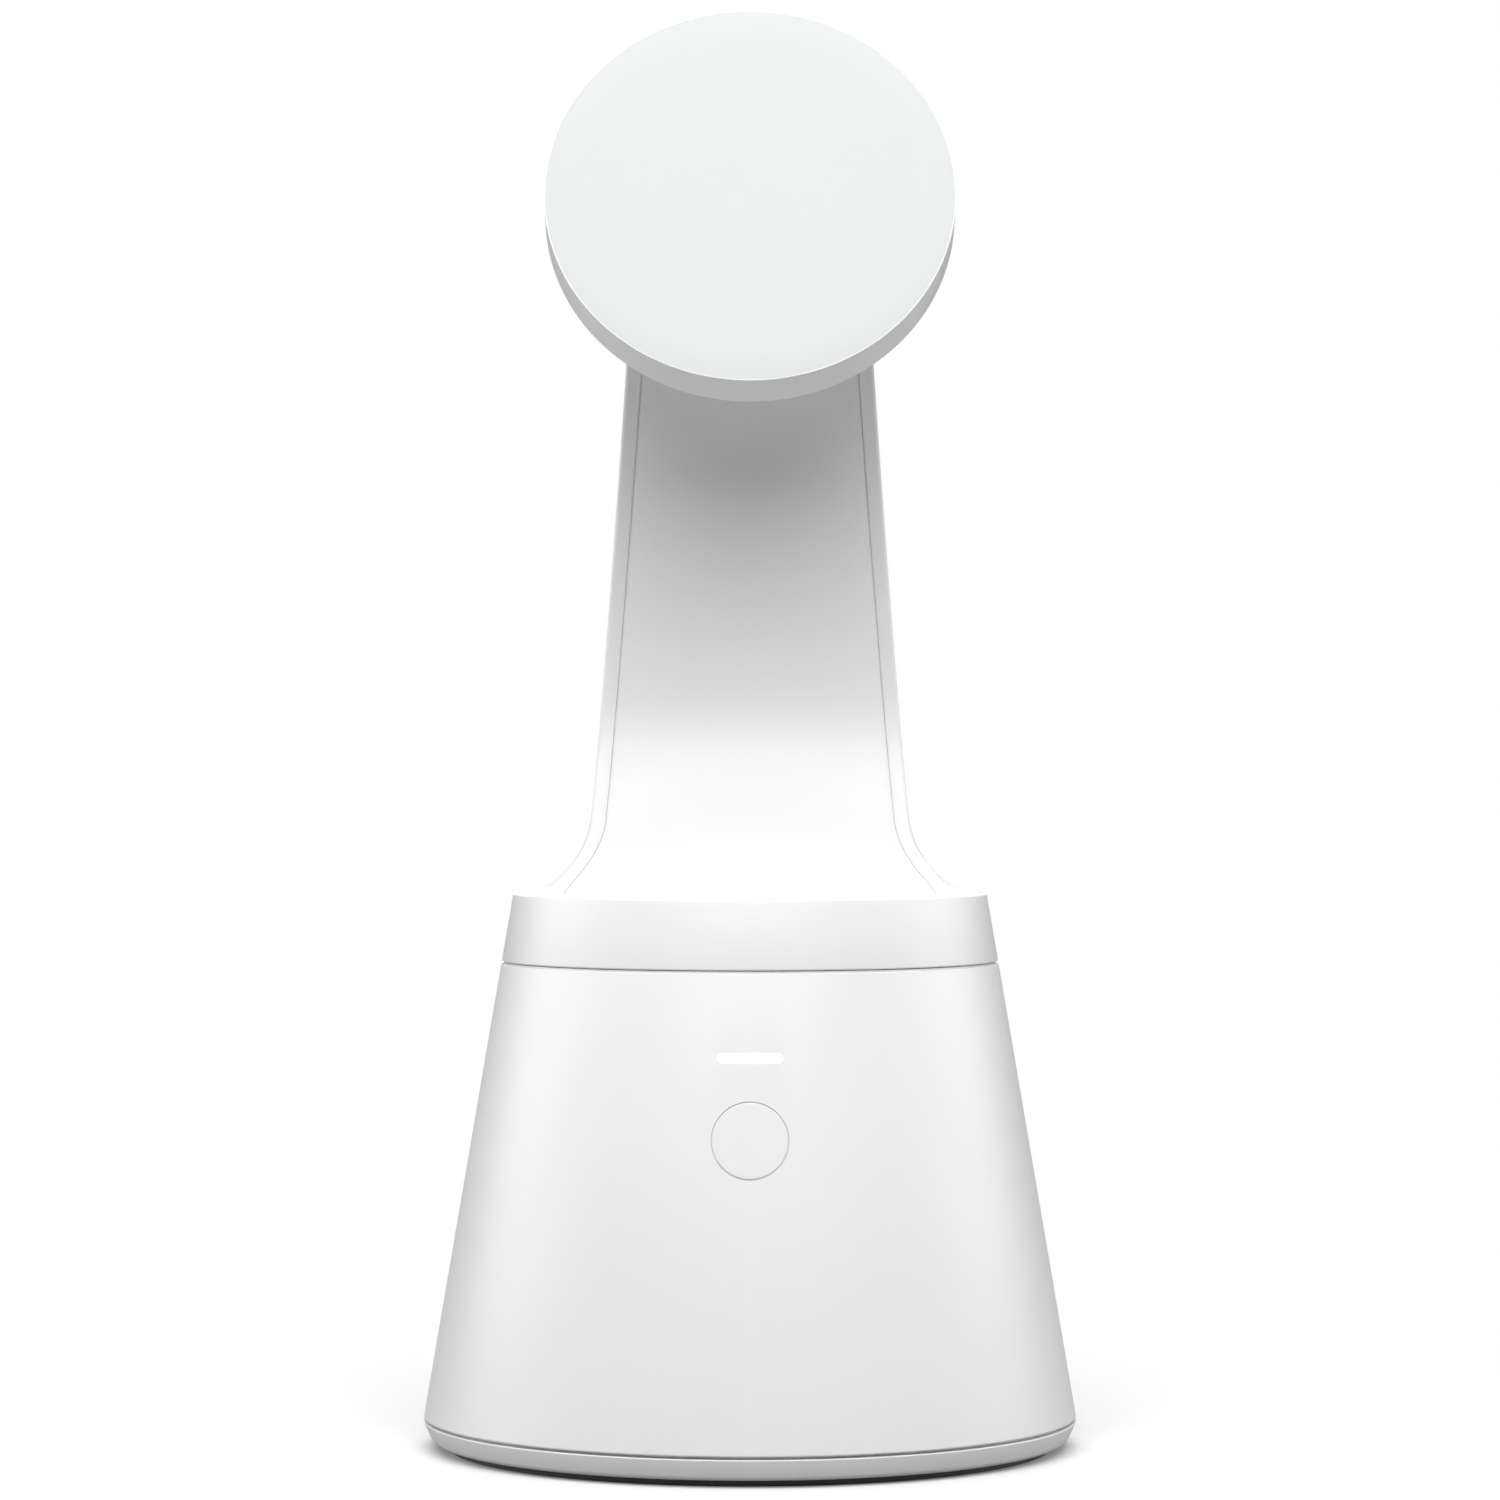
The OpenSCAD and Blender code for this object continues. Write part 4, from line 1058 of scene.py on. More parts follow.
    def light_bar(self) -> Piece:
        """The flush light guide that follows the cone's curve.

        Returns:
            The piece that stands for light_bar.
        """
        p = self.plan
        place = p.front_frame(p.lamp_z)
        back = place.inverted()
        skin = Skin()
        columns = 32
        rows_front: list[list[Vector]] = []
        for i in range(columns + 1):
            x = -self.lamp_half + 2 * self.lamp_half * (0.5 - 0.5 * math.cos(math.pi * i / columns))
            over = max(0.0, abs(x) - (self.lamp_half - self.lamp_half_h))
            h = math.sqrt(max(self.lamp_half_h ** 2 - over ** 2, (0.02 * MM) ** 2))
            row = []
            for j in range(9):
                y = h * (j / 4 - 1)
                on = back @ p.on_cone(x, (place @ Vector((x, y, 0))).z)
                row.append(Vector((x, y, on.z)))
            rows_front.append(row + [Vector((x, h, -8 * MM)), Vector((x, -h, -8 * MM))])
        index = skin.rows(rows_front)
        skin.cap(index[0])
        skin.cap(index[-1])
        finish = Finish("frosted_light_guide", (0.92, 0.92, 0.92), 0.4, marks=Marks.GLOW,
                        glow=self.glow(4.9 * MM, 4 * MM, 0.8, 1.0))
        piece = make_piece("light_guide", skin.moved(place), finish)
        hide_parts("light_bar")
        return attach(piece, "base")

    def bottom_plate(self) -> Piece:
        """The bottom plate with its tapered rim, door seat and screw seats.

        Returns:
            The piece that stands for bottom_plate.
        """
        p = self.plan
        rim_r = p.base_r
        foot_r = rim_r - self.rim_draft
        outline = rounded([
            (0.0, self.floor_z, 0.0),
            (self.foot_outer + 0.4 * MM, self.floor_z, 0.0),
            (self.foot_outer + 0.4 * MM, self.rim_foot, 0.1 * MM),
            (foot_r, self.rim_foot, self.rim_round),
            (rim_r, p.rim_top, 0.1 * MM),
            (rim_r - 1.3 * MM, p.rim_top, 0.0),
            (rim_r - 1.3 * MM, p.rim_top - 1.2 * MM, 0.0),
            (0.0, p.rim_top - 1.2 * MM, 0.0)])
        finish = Finish("satin_rim", WHITE, 0.42, shade=0.012)
        piece = make_piece("bottom_rim", Skin().turned(outline, 256), finish)
        low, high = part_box("battery_door")
        gap = 0.3 * MM
        seat = rounded_box((low.x - gap, low.y - gap), (high.x + gap, high.y + gap), 1.2 * MM)
        cutters = [Skin().prism(seat, -1 * MM, high.z + gap)]
        for seat_at in self.screw_seats():
            well = [(x + seat_at.x, y + seat_at.y) for x, y in arc((0, 0), 2.8 * MM, 0, 350, 35)]
            cutters.append(Skin().prism(well, -1 * MM, self.floor_z + 1.4 * MM))
        carve(piece, cutters)
        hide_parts("bottom_plate")
        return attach(piece, "base")

    def screw_seats(self) -> list[Vector]:
        """Middle of each base screw's head, from the screws' own box.

        Returns:
            The four middles.
        """
        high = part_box("base_screws")[1]
        head_r = 2.5 * MM
        x, y = high.x - head_r, high.y - head_r
        z = self.floor_z + 0.75 * MM
        return [Vector((sx * x, sy * y, z)) for sx in (-1, 1) for sy in (-1, 1)]

    def screws(self) -> Piece:
        """The four cross-recessed screws under the base.

        Returns:
            The piece that stands for base_screws.
        """
        mesh = bpy.data.meshes.new("base_screw_heads")
        mesh.from_pydata([tuple(v) for v in self.screw_seats()], [], [])
        piece = bpy.data.objects.new("base_screw_heads", mesh)
        bpy.context.scene.collection.objects.link(piece)
        repeated(piece, "seats", {"Head Radius": 2.4 * MM, "Head Height": 1.2 * MM,
                                  "Recess Width": 0.6 * MM,
                                  "Material": INNER_FINISHES["steel"].material()})
        soften(piece, SHARP)
        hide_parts("base_screws")
        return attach(piece, "base")

    def foot(self) -> Piece:
        """The rubber foot ring with fine grip ribs on its sole.

        Returns:
            The piece that stands for foot_ring.
        """
        deep, edge = 0.45 * MM, 0.7 * MM
        low, high = self.foot_inner + edge, self.foot_outer - edge
        top = self.floor_z - 0.02 * MM
        outline = rounded([
            (self.foot_inner, 0.0, 0.2 * MM), (low, 0.0, 0.15 * MM), (low, deep, 0.0),
            (high, deep, 0.0), (high, 0.0, 0.15 * MM), (self.foot_outer, 0.0, 0.2 * MM),
            (self.foot_outer, top, 0.0), (self.foot_inner, top, 0.0)])
        finish = INNER_FINISHES["foot_rubber"]
        ring = make_piece("foot_grip", Skin().turned(outline, 192), finish)
        half = (high - low) / 2 - 0.02 * MM
        rib = rounded_box((-half, -0.4 * MM), (half, 0.4 * MM), 0.2 * MM, 3)
        ribs = make_piece("foot_ribs", Skin().prism(rib, 0.04 * MM, deep + 0.1 * MM), finish)
        repeated(ribs, "ring", {"Count": 120, "Radius": (self.foot_inner + self.foot_outer) / 2,
                                "Material": finish.material()})
        joined(ring, ribs)
        soften(ring, SHARP)
        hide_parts("foot_ring")
        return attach(ring, "base")

    def door(self) -> list[Piece]:
        """The battery door and the grip ribs by its edge.

        Returns:
            The piece that stands for battery_door, in a list.
        """
        low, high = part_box("battery_door")
        corner = 1.1 * MM
        outline = rounded_box((low.x, low.y), (high.x, high.y), corner)
        inset = 0.25 * MM
        inner = rounded_box((low.x + inset, low.y + inset),
                            (high.x - inset, high.y - inset), corner)
        skin = Skin()
        rows = [[Vector((x, y, low.z)) for x, y in inner],
                [Vector((x, y, low.z + inset)) for x, y in outline],
                [Vector((x, y, high.z)) for x, y in outline]]
        index = skin.rows(rows)
        skin.cap(index[0][::-1])
        skin.cap(index[-1])
        finish = Finish("satin_door", WHITE, 0.46, shade=0.012)
        door = make_piece("battery_cover", skin, finish)
        rib = rounded_box((-8 * MM, -0.35 * MM), (8 * MM, 0.35 * MM), 0.3 * MM, 3)
        grip = Skin().prism(rib, low.z - 0.25 * MM, low.z + 0.3 * MM)
        ribs = make_piece("cover_grip", grip, finish)
        repeated(ribs, "row", {"Count": 5, "Pitch": 1.5 * MM, "Material": finish.material()})
        ribs.data.transform(Matrix.Translation((0, high.y - 9.5 * MM, 0)))
        joined(door, ribs)
        soften(door, SHARP)
        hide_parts("battery_door")
        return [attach(door, "battery_door")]


@dataclass
class Button:
    """The round power button, flush with the cone."""

    plan: Layout
    height: float
    radius: float = 5.22 * MM
    skirt_r: float = 5.34 * MM
    edge: float = 0.07 * MM
    flange_r: float = 6.2 * MM

    def build(self) -> Piece:
        """Make the button's cap with its flange and stem.

        Returns:
            The piece that stands for power_button.
        """
        p = self.plan
        place = p.front_frame(self.height)
        back = place.inverted()
        face = [(self.radius * k / 10, 0.0) for k in range(10)]
        outline = face + arc((self.radius - self.edge, -self.edge), self.edge, 90, 0, 4) + [
            (self.radius, -0.2 * MM), (self.skirt_r, -0.22 * MM),
            (self.skirt_r, -3.4 * MM), (self.flange_r, -3.5 * MM), (self.flange_r, -4.1 * MM),
            (1.3 * MM, -4.2 * MM), (1.3 * MM, -5.0 * MM), (0.0, -5.0 * MM)]
        skin = Skin().turned(outline, 96)
        for v in skin.points:
            level = back @ p.on_cone(v.x, (place @ Vector((v.x, v.y, 0))).z)
            v.z += level.z * smooth_step((v.z + 3.3 * MM) / (3 * MM))
        finish = Finish("satin_button", WHITE, 0.4, shade=0.01)
        piece = make_piece("button_cap", skin.moved(place), finish)
        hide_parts("power_button")
        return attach(piece, "button")


# ---------------------------------------------------------------- turret and arm

@dataclass(frozen=True)
class Station:
    """One cross-section of the arm: its front line and how it lies."""

    y: float
    z: float
    into: Point
    depth: float
    sunk: bool
    root: bool


@dataclass
class Turret:
    """The turning collar, its deck and the curved arm with its front panel."""

    plan: Layout
    face_y: float = 9.0 * MM
    face_z: float = 108.0 * MM
    tip_r: float = 5.5 * MM
    fillet: float = 11.0 * MM
    taper: float = math.tan(math.radians(4.63))
    border: float = 2.2 * MM
    rim_w: float = 1.9 * MM
    gap: float = 0.2 * MM
    sink: float = 1.3 * MM
    panel_top: float = 163.0 * MM
    front_edge: float = 0.55 * MM
    back_edge: float = 4.5 * MM
    slot_half: float = 7.4 * MM
    slot_r: float = 5.9 * MM

    def __post_init__(self) -> None:
        """Work out the arcs that make the arm's side view."""
        p = self.plan
        self.deck_r = p.radius(p.deck_z)
        self.root_r = self.face_z - p.deck_z
        back = self.face_y - p.hinge[0]
        up = p.hinge[1] - self.face_z
        self.sweep_r = (back ** 2 + up ** 2 - self.tip_r ** 2) / (2 * (back + self.tip_r))
        self.sweep_y = self.face_y - self.sweep_r
        self.sweep_end = math.atan2(up, self.sweep_r - back)
        self.thick = 2 * self.tip_r
        self.back_y = self.face_y + self.thick
        self.flare_r = self.deck_r - 0.3 * MM
        self.well_r = self.deck_r - self.rim_w
        touch = p.deck_z + self.fillet * (1 - math.sin(math.atan(self.taper)))
        self.touch_z = touch
        self.touch_x = self.deck_r - self.fillet * math.cos(math.atan(self.taper))

    def build(self) -> list[Piece]:
        """Make the turret's visible pieces.

        Returns:
            The shell and the front panel, riding on the turret.
        """
        return [self.shell(), self.panel()]

    def half(self, z: float) -> float:
        """Half width of the plain arm at a height, with its rounded top corners.

        Args:
            z: The height.

        Returns:
            The half width.
        """
        straight = self.touch_x - self.taper * (z - self.touch_z)
        corner = 7 * MM
        corner_z = self.plan.hinge[1] + self.tip_r - corner
        if z <= corner_z:
            return straight
        middle = self.touch_x - self.taper * (corner_z - self.touch_z) - corner
        rise = min(z - corner_z, corner * 0.98)
        return middle + math.sqrt(corner ** 2 - rise ** 2)

    def reach(self, rise: float, fillet: float) -> float:
        """Share of the flare that is left at a rise above the deck.

        Args:
            rise: Height above the deck.
            fillet: The flare's radius.

        Returns:
            From 1 at the deck to 0.
        """
        t = 1 - max(0.0, rise) / fillet
        return 1 - math.sqrt(1 - t * t) if t > 0 else 0.0

    def corner_half(self, y: float, z: float) -> float:
        """Half width of the arm's front at a root station.

        Args:
            y: Place of the front line.
            z: Its height.

        Returns:
            The half width, with the flare.
        """
        plain = self.half(z)
        rim = math.sqrt(max(self.flare_r ** 2 - y * y, plain ** 2 * 0.25))
        return plain + (rim - plain) * self.reach(z - self.plan.deck_z, self.fillet)

    def well_half(self, y: float, z: float) -> float:
        """Half width of the panel's recess where the front is at (y, z).

        Args:
            y: Place of the front line.
            z: Its height.

        Returns:
            The half width.
        """
        rim = math.sqrt(max(self.well_r ** 2 - y * y, 0.0))
        return min(self.corner_half(y, z) - self.border, rim if z < self.face_z else 1.0)

    def stations(self) -> list[Station]:
        """Cross-sections from the deck to the tip.

        Returns:
            Root stations, then the sweep, then the rounded tip.
        """
        p = self.plan
        out = []
        root_steps = [0, 0.6, 1.5, 3, 4.5, 6, 8, 10, 12.5, 15]
        root_steps += [15 + 2.5 * k for k in range(1, 31)]
        for turn in root_steps:
            a = math.radians(turn - 90)
            y = self.face_y - self.root_r + self.root_r * math.cos(a)
            z = self.face_z + self.root_r * math.sin(a)
            out.append(Station(y, z, (math.cos(a), math.sin(a)), self.back_y - y, True, True))
        top_a = math.asin((self.panel_top - self.face_z) / self.sweep_r)
        hair = 0.02 * MM / self.sweep_r
        angles = [top_a * k / 36 for k in range(1, 37)] + [top_a + hair]
        angles += [top_a + (self.sweep_end - top_a) * k / 5 for k in range(1, 6)]
        for a in angles:
            c, s = math.cos(a), math.sin(a)
            out.append(Station(self.sweep_y + self.sweep_r * c, self.face_z + self.sweep_r * s,
                               (c, s), self.thick, a <= top_a, False))
        u = (math.cos(self.sweep_end), math.sin(self.sweep_end))
        for turn in (12, 24, 36, 48, 58, 67, 75, 81, 86):
            c, s = math.cos(math.radians(turn)), math.sin(math.radians(turn))
            y = p.hinge[0] + self.tip_r * (-c * u[0] - s * u[1])
            z = p.hinge[1] + self.tip_r * (-c * u[1] + s * u[0])
            out.append(Station(y, z, u, self.thick * c, False, False))
        return out

    def section(self, st: Station) -> list[Vector]:
        """Closed loop of points round the arm at a station.

        Args:
            st: The station.

        Returns:
            The right half from the front's middle to the back's, then the left half.
        """
        ease = smooth_step((st.z - self.plan.deck_z) / (8 * MM)) if st.root else 1.0
        round_f = min(self.front_edge * ease, st.depth * 0.2)
        round_b = min(self.back_edge, st.depth * 0.45)
        width = self.corner_half(st.y, st.z) if st.root else self.half(st.z)
        well = self.well_half(st.y, st.z) if st.root else width - self.border
        sink = self.sink if st.sunk else 0.0
        lip = 0.1 * MM if st.sunk else 0.0
        right = [(0.0, sink), (well * 0.5, sink), (well, sink), (well, lip),
                 (well + 0.04 * MM, lip * 0.3), (well + 0.1 * MM, 0.0),
                 ((well + width) / 2, 0.0)]
        right += [(width - round_f * (1 - math.sin(a)), round_f * (1 - math.cos(a)))
                  for a in (math.pi / 2 * k / 4 for k in range(5))]
        loop = [Vector((x, st.y + d * st.into[0], st.z + d * st.into[1])) for x, d in right]
        side = self.root_side if st.root else self.plain_side
        loop += side(st, round_f, round_b)
        mirror = [Vector((-v.x, v.y, v.z)) for v in reversed(loop[1:-1])]
        return loop + mirror

    def plain_side(self, st: Station, round_f: float, round_b: float) -> list[Vector]:
        """Side, back corner and half back of a section on the sweep or tip.

        Args:
            st: The station.
            round_f: Rounding of the front edge.
            round_b: Rounding of the back edge.

        Returns:
            The points, from the front edge to the middle of the back.
        """
        path = [(0.0, round_f + (st.depth - round_b - round_f) * k / 14) for k in range(1, 15)]
        path += [(round_b * (1 - math.cos(a)), st.depth - round_b * (1 - math.sin(a)))
                 for a in (math.pi / 2 * k / 8 for k in range(1, 9))]
        points = []
        for inset, d in path:
            z = st.z + d * st.into[1]
            points.append(Vector((self.half(z) - inset, st.y + d * st.into[0], z)))
        last = points[-1]
        points += [Vector((last.x * (1 - k / 6), last.y, last.z)) for k in range(1, 7)]
        return points

    def root_side(self, st: Station, round_f: float, round_b: float) -> list[Vector]:
        """Side, back corner and half back of a level section, flared to the deck's rim.

        Args:
            st: The station.
            round_f: Rounding of the front edge.
            round_b: Rounding of the back edge.

        Returns:
            The points, from the front edge to the middle of the back.
        """
        plain = self.half(st.z)
        rise = st.z - self.plan.deck_z
        back_fillet = self.deck_r - self.back_y
        corner_y = self.back_y - round_b
        start = st.y + round_f * st.into[0]
        points = []
        for k in range(1, 15):
            y = start + (corner_y - start) * k / 14
            rim = math.sqrt(max(self.flare_r ** 2 - y * y, 0.0))
            points.append(Vector((plain + (rim - plain) * self.reach(rise, self.fillet), y, st.z)))
        side_a = math.asin(corner_y / self.flare_r)
        back_a = math.acos((plain - round_b) / self.flare_r)
        for k in range(1, 9):
            t = k / 8
            a = math.pi / 2 * t
            on = Vector((plain - round_b * (1 - math.cos(a)),
                         corner_y + round_b * math.sin(a), st.z))
            rim_a = side_a + (back_a - side_a) * t
            rim = Vector((self.flare_r * math.cos(rim_a), self.flare_r * math.sin(rim_a), st.z))
            fillet = self.fillet + (back_fillet - self.fillet) * t
            points.append(on.lerp(rim, self.reach(rise, fillet)))
        for k in range(1, 7):
            x = (plain - round_b) * (1 - k / 6)
            on = Vector((x, self.back_y, st.z))
            rim = Vector((x, math.sqrt(self.flare_r ** 2 - x * x), st.z))
            points.append(on.lerp(rim, self.reach(rise, back_fillet)))
        return points

    def shell(self) -> Piece:
        """The collar, the deck's rim and the arm, as one moulding.

        Returns:
            The piece that stands for turret_shell.
        """
        p = self.plan
        finish = Finish("satin_turret", WHITE, 0.4, shade=0.012)
        loops = [self.section(st) for st in self.stations()]
        floor_z = p.deck_z - self.sink
        foot = [Vector((v.x, v.y, floor_z)) for v in loops[0]]
        skin = Skin()
        index = skin.rows([foot] + loops)
        skin.cap(index[0][::-1])
        skin.cap(index[-1])
        arm = make_piece("turret_moulding", skin, finish)
        carve(arm, [self.slot_cutter()])
        collar_r = p.collar_foot_r
        outline = rounded([
            (collar_r - 2 * MM, p.collar_foot, 0.3 * MM),
            (collar_r, p.collar_foot, 0.22 * MM),
            (self.deck_r, p.deck_z, 0.28 * MM),
            (self.well_r, p.deck_z, 0.1 * MM),
            (self.well_r, floor_z - 0.05 * MM, 0.0),
            (0.0, floor_z - 0.05 * MM, 0.0),
            (0.0, floor_z - 1.5 * MM, 0.0),
            (collar_r - 2 * MM, floor_z - 1.5 * MM, 0.0)])
        collar = make_piece("collar", Skin().turned(outline, 256), finish)
        joined(arm, collar)
        soften(arm, SHARP)
        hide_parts("turret_shell")
        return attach(arm, "turret")

    def slot_cutter(self) -> Skin:
        """The room for the knuckle, open at the tip.

        Returns:
            The closed skin to cut away.
        """
        y, z = self.plan.hinge
        a = math.degrees(self.sweep_end)
        u = (math.cos(self.sweep_end), math.sin(self.sweep_end))
        far = 14 * MM
        outline = arc((y, z), self.slot_r, a, a - 180, 24)
        for side in (-1, 1):
            outline.append((y + side * self.slot_r * u[0] - far * u[1],
                            z + side * self.slot_r * u[1] + far * u[0]))
        cutter = Skin().prism(outline, -self.slot_half, self.slot_half)
        cutter.points = [Vector((v.z, v.x, v.y)) for v in cutter.points]
        return cutter

    def panel(self) -> Piece:
        """The front panel, from the deck's front edge up to behind the disc.

        Returns:
            The piece that stands for arm_front_panel.
        """
        p = self.plan
        radius = self.well_r - self.gap
        deck_end = self.face_y - self.root_r
        last = math.degrees(math.acos(-deck_end / radius))
        rows = []
        for k in range(25):
            a = math.radians(2 + (last - 2) * k / 24)
            rows.append((radius * math.sin(a), -radius * math.cos(a), p.deck_z, (0.0, -1.0)))
        rows[-1] = (rows[-1][0], deck_end, p.deck_z, (0.0, -1.0))
        for st in self.stations()[1:]:
            if not st.sunk:
                break
            wide = self.well_half(st.y, st.z) if st.root else self.half(st.z) - self.border
            rows.append((wide - self.gap, st.y, st.z, st.into))
        skin = Skin()
        index = skin.rows([self.strip(*row) for row in rows[:-1]])
        skin.cap(index[0][::-1])
        skin.cap(index[-1])
        piece = make_piece("arm_face_panel", skin, Finish("satin_panel", WHITE, 0.4, shade=0.012))
        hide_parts("arm_front_panel")
        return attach(piece, "turret")

    def strip(self, half: float, y: float, z: float, into: Point) -> list[Vector]:
        """Closed loop round the panel's thickness at one line across it.

        Args:
            half: Half width of the panel there.
            y: Place of the front line.
            z: Its height.
            into: Direction into the arm, in Y and Z.

        Returns:
            The points of the loop.
        """
        lip = 0.1 * MM
        thick = self.sink - 0.1 * MM
        step = half + self.gap - 0.03 * MM
        right = [(0.0, 0.0), (half * 0.25, 0.0), (half * 0.5, 0.0), (half * 0.75, 0.0),
                 (half - lip, 0.0), (half - lip * 0.3, lip * 0.3), (half, lip),
                 (half, 0.24 * MM), (step, 0.26 * MM), (step, thick),
                 (half * 0.5, thick), (0.0, thick)]
        across = right + [(-x, d) for x, d in reversed(right[1:-1])]
        return [Vector((x, y + d * into[0], z + d * into[1])) for x, d in across]


# ---------------------------------------------------------------- head

@dataclass
class Head:
    """The tilting disc: housing, silicone face and knuckle."""

    plan: Layout
    lip: float = 0.2 * MM
    front_round: float = 0.14 * MM
    back_round: float = 0.9 * MM
    pad_sink: float = 0.01 * MM
    knuckle_r: float = 5.1 * MM
    knuckle_half: float = 6.6 * MM
    # Painted shade: the face is a darker copy of the silicone (about 0.8 of its colour), which tones down the
    # up-facing face where the key light falls on it.
    pad_shaded_finish: Finish = Finish("silicone_face", (0.640, 0.662, 0.656), 0.66, specular=0.35,
                                sheen=0.15, grain_scale=2600.0, grain_depth=0.006 * MM,
                                shade=0.01, wear=0.0, dust=0.02)

    def build(self) -> list[Piece]:
        """Make the head's visible pieces, all riding on the head."""
        return [self.housing(), self.pad(), self.knuckle(), self.magnets()]

    def housing(self) -> Piece:
        """The shallow round housing.

        Returns:
            The piece that stands for head_housing.
        """
        p = self.plan
        r, t = p.disc_r, p.disc_t
        inner = r - self.lip
        outline = rounded([
            (0.0, -t, 0.0), (r, -t, self.back_round), (r, 0.0, self.front_round),
            (inner, 0.0, 0.03 * MM), (inner, -1.2 * MM, 0.0),
            (r - 1.85 * MM, -1.2 * MM, 0.0), (r - 1.85 * MM, -t + 1.6 * MM, 0.0),
            (0.0, -t + 1.6 * MM, 0.0)], 6)
        # Painted light: the housing is a lighter copy of the white plastic (0.86 against 0.8), which brightens its
        # shaded, down-facing rim band.
        piece = make_piece("disc_housing", Skin().turned(outline, 256).moved(p.disc_frame()),
                           Finish("satin_disc_painted_light", (0.86, 0.86, 0.86), 0.4, shade=0.012))
        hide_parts("head_housing")
        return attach(piece, "head")

    def pad(self) -> Piece:
        """The flat silicone face, a hair below the housing's lip.

        Returns:
            The piece that stands for face_pad.
        """
        p = self.plan
        r = p.disc_r - self.lip
        level = [(r * k / 6, -self.pad_sink) for k in range(6)]
        outline = level + arc((r - 0.04 * MM, -self.pad_sink - 0.04 * MM), 0.04 * MM, 90, 0, 3)
        outline += [(r, -1.15 * MM), (0.0, -1.15 * MM)]
        # The face carries the darkened silicone: painted shade on the up-facing disc.
        piece = make_piece("silicone_face", Skin().turned(outline, 256).moved(p.disc_frame()),
                           self.pad_shaded_finish)
        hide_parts("face_pad")
        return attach(piece, "head")

    def knuckle(self) -> Piece:
        """The hinge barrel and the neck that joins it to the disc.

        Returns:
            The piece that stands for head_bracket.
        """
        p = self.plan
        place = p.disc_frame()
        drop = (Vector((0, *p.hinge)) - p.face).length
        w, r = self.knuckle_half, self.knuckle_r
        outline = rounded([(0.0, -w, 0.0), (r, -w, 0.45 * MM), (r, w, 0.45 * MM), (0.0, w, 0.0)])
        barrel = Skin().turned(outline, 96)
        barrel.points = [Vector((v.z, v.x, v.y - drop)) for v in barrel.points]
        finish = INNER_FINISHES["painted_alloy"]
        piece = make_piece("hinge_knuckle", barrel.moved(place), finish)
        half = 3.3 * MM
        neck = rounded_box((-w, -half), (w, half), 1 * MM)
        skin = Skin().prism(neck, -drop, -p.disc_t + 1 * MM)
        joined(piece, make_piece("neck", skin.moved(place), finish))
        soften(piece, SHARP)
        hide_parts("head_bracket")
        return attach(piece, "head")

    def magnets(self) -> Piece:
        """The ring of magnet segments behind the face.

        Returns:
            The piece that stands for magnet_ring.
        """
        p = self.plan
        inner, outer, low, high = 22.6 * MM, 26.4 * MM, -3.4 * MM, -1.4 * MM
        span = 9.4
        middle = (inner + outer) / 2
        outline = arc((-middle, 0.0), outer, -span, span, 8)
        outline += arc((-middle, 0.0), inner, span, -span, 8)
        finish = INNER_FINISHES["magnet"]
        piece = make_piece("magnet_segments", Skin().prism(outline, low, high), finish)
        repeated(piece, "ring", {"Count": 18, "Radius": middle, "Material": finish.material()})
        piece.data.transform(p.disc_frame())
        soften(piece, SHARP)
        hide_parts("magnet_ring")
        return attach(piece, "head")


# ---------------------------------------------------------------- studio

@dataclass(frozen=True)
class Softbox:
    """A square light: its place, its side in metres and its power in watts."""

    name: str
    place: Triple
    side: float
    power: float


SOFTBOXES = (
    Softbox("front_softbox", (0.0, -0.75, 0.95), 1.2, 19.5),
    Softbox("left_softbox", (-1.1, 0.25, 0.3), 0.8, 6.6),
    Softbox("right_softbox", (1.1, 0.25, 0.3), 0.8, 6.0),
    Softbox("rear_softbox", (0.0, 1.1, 0.9), 1.0, 8.0),
    Softbox("under_softbox", (0.0, -0.2, -0.9), 0.8, 9.0),
)


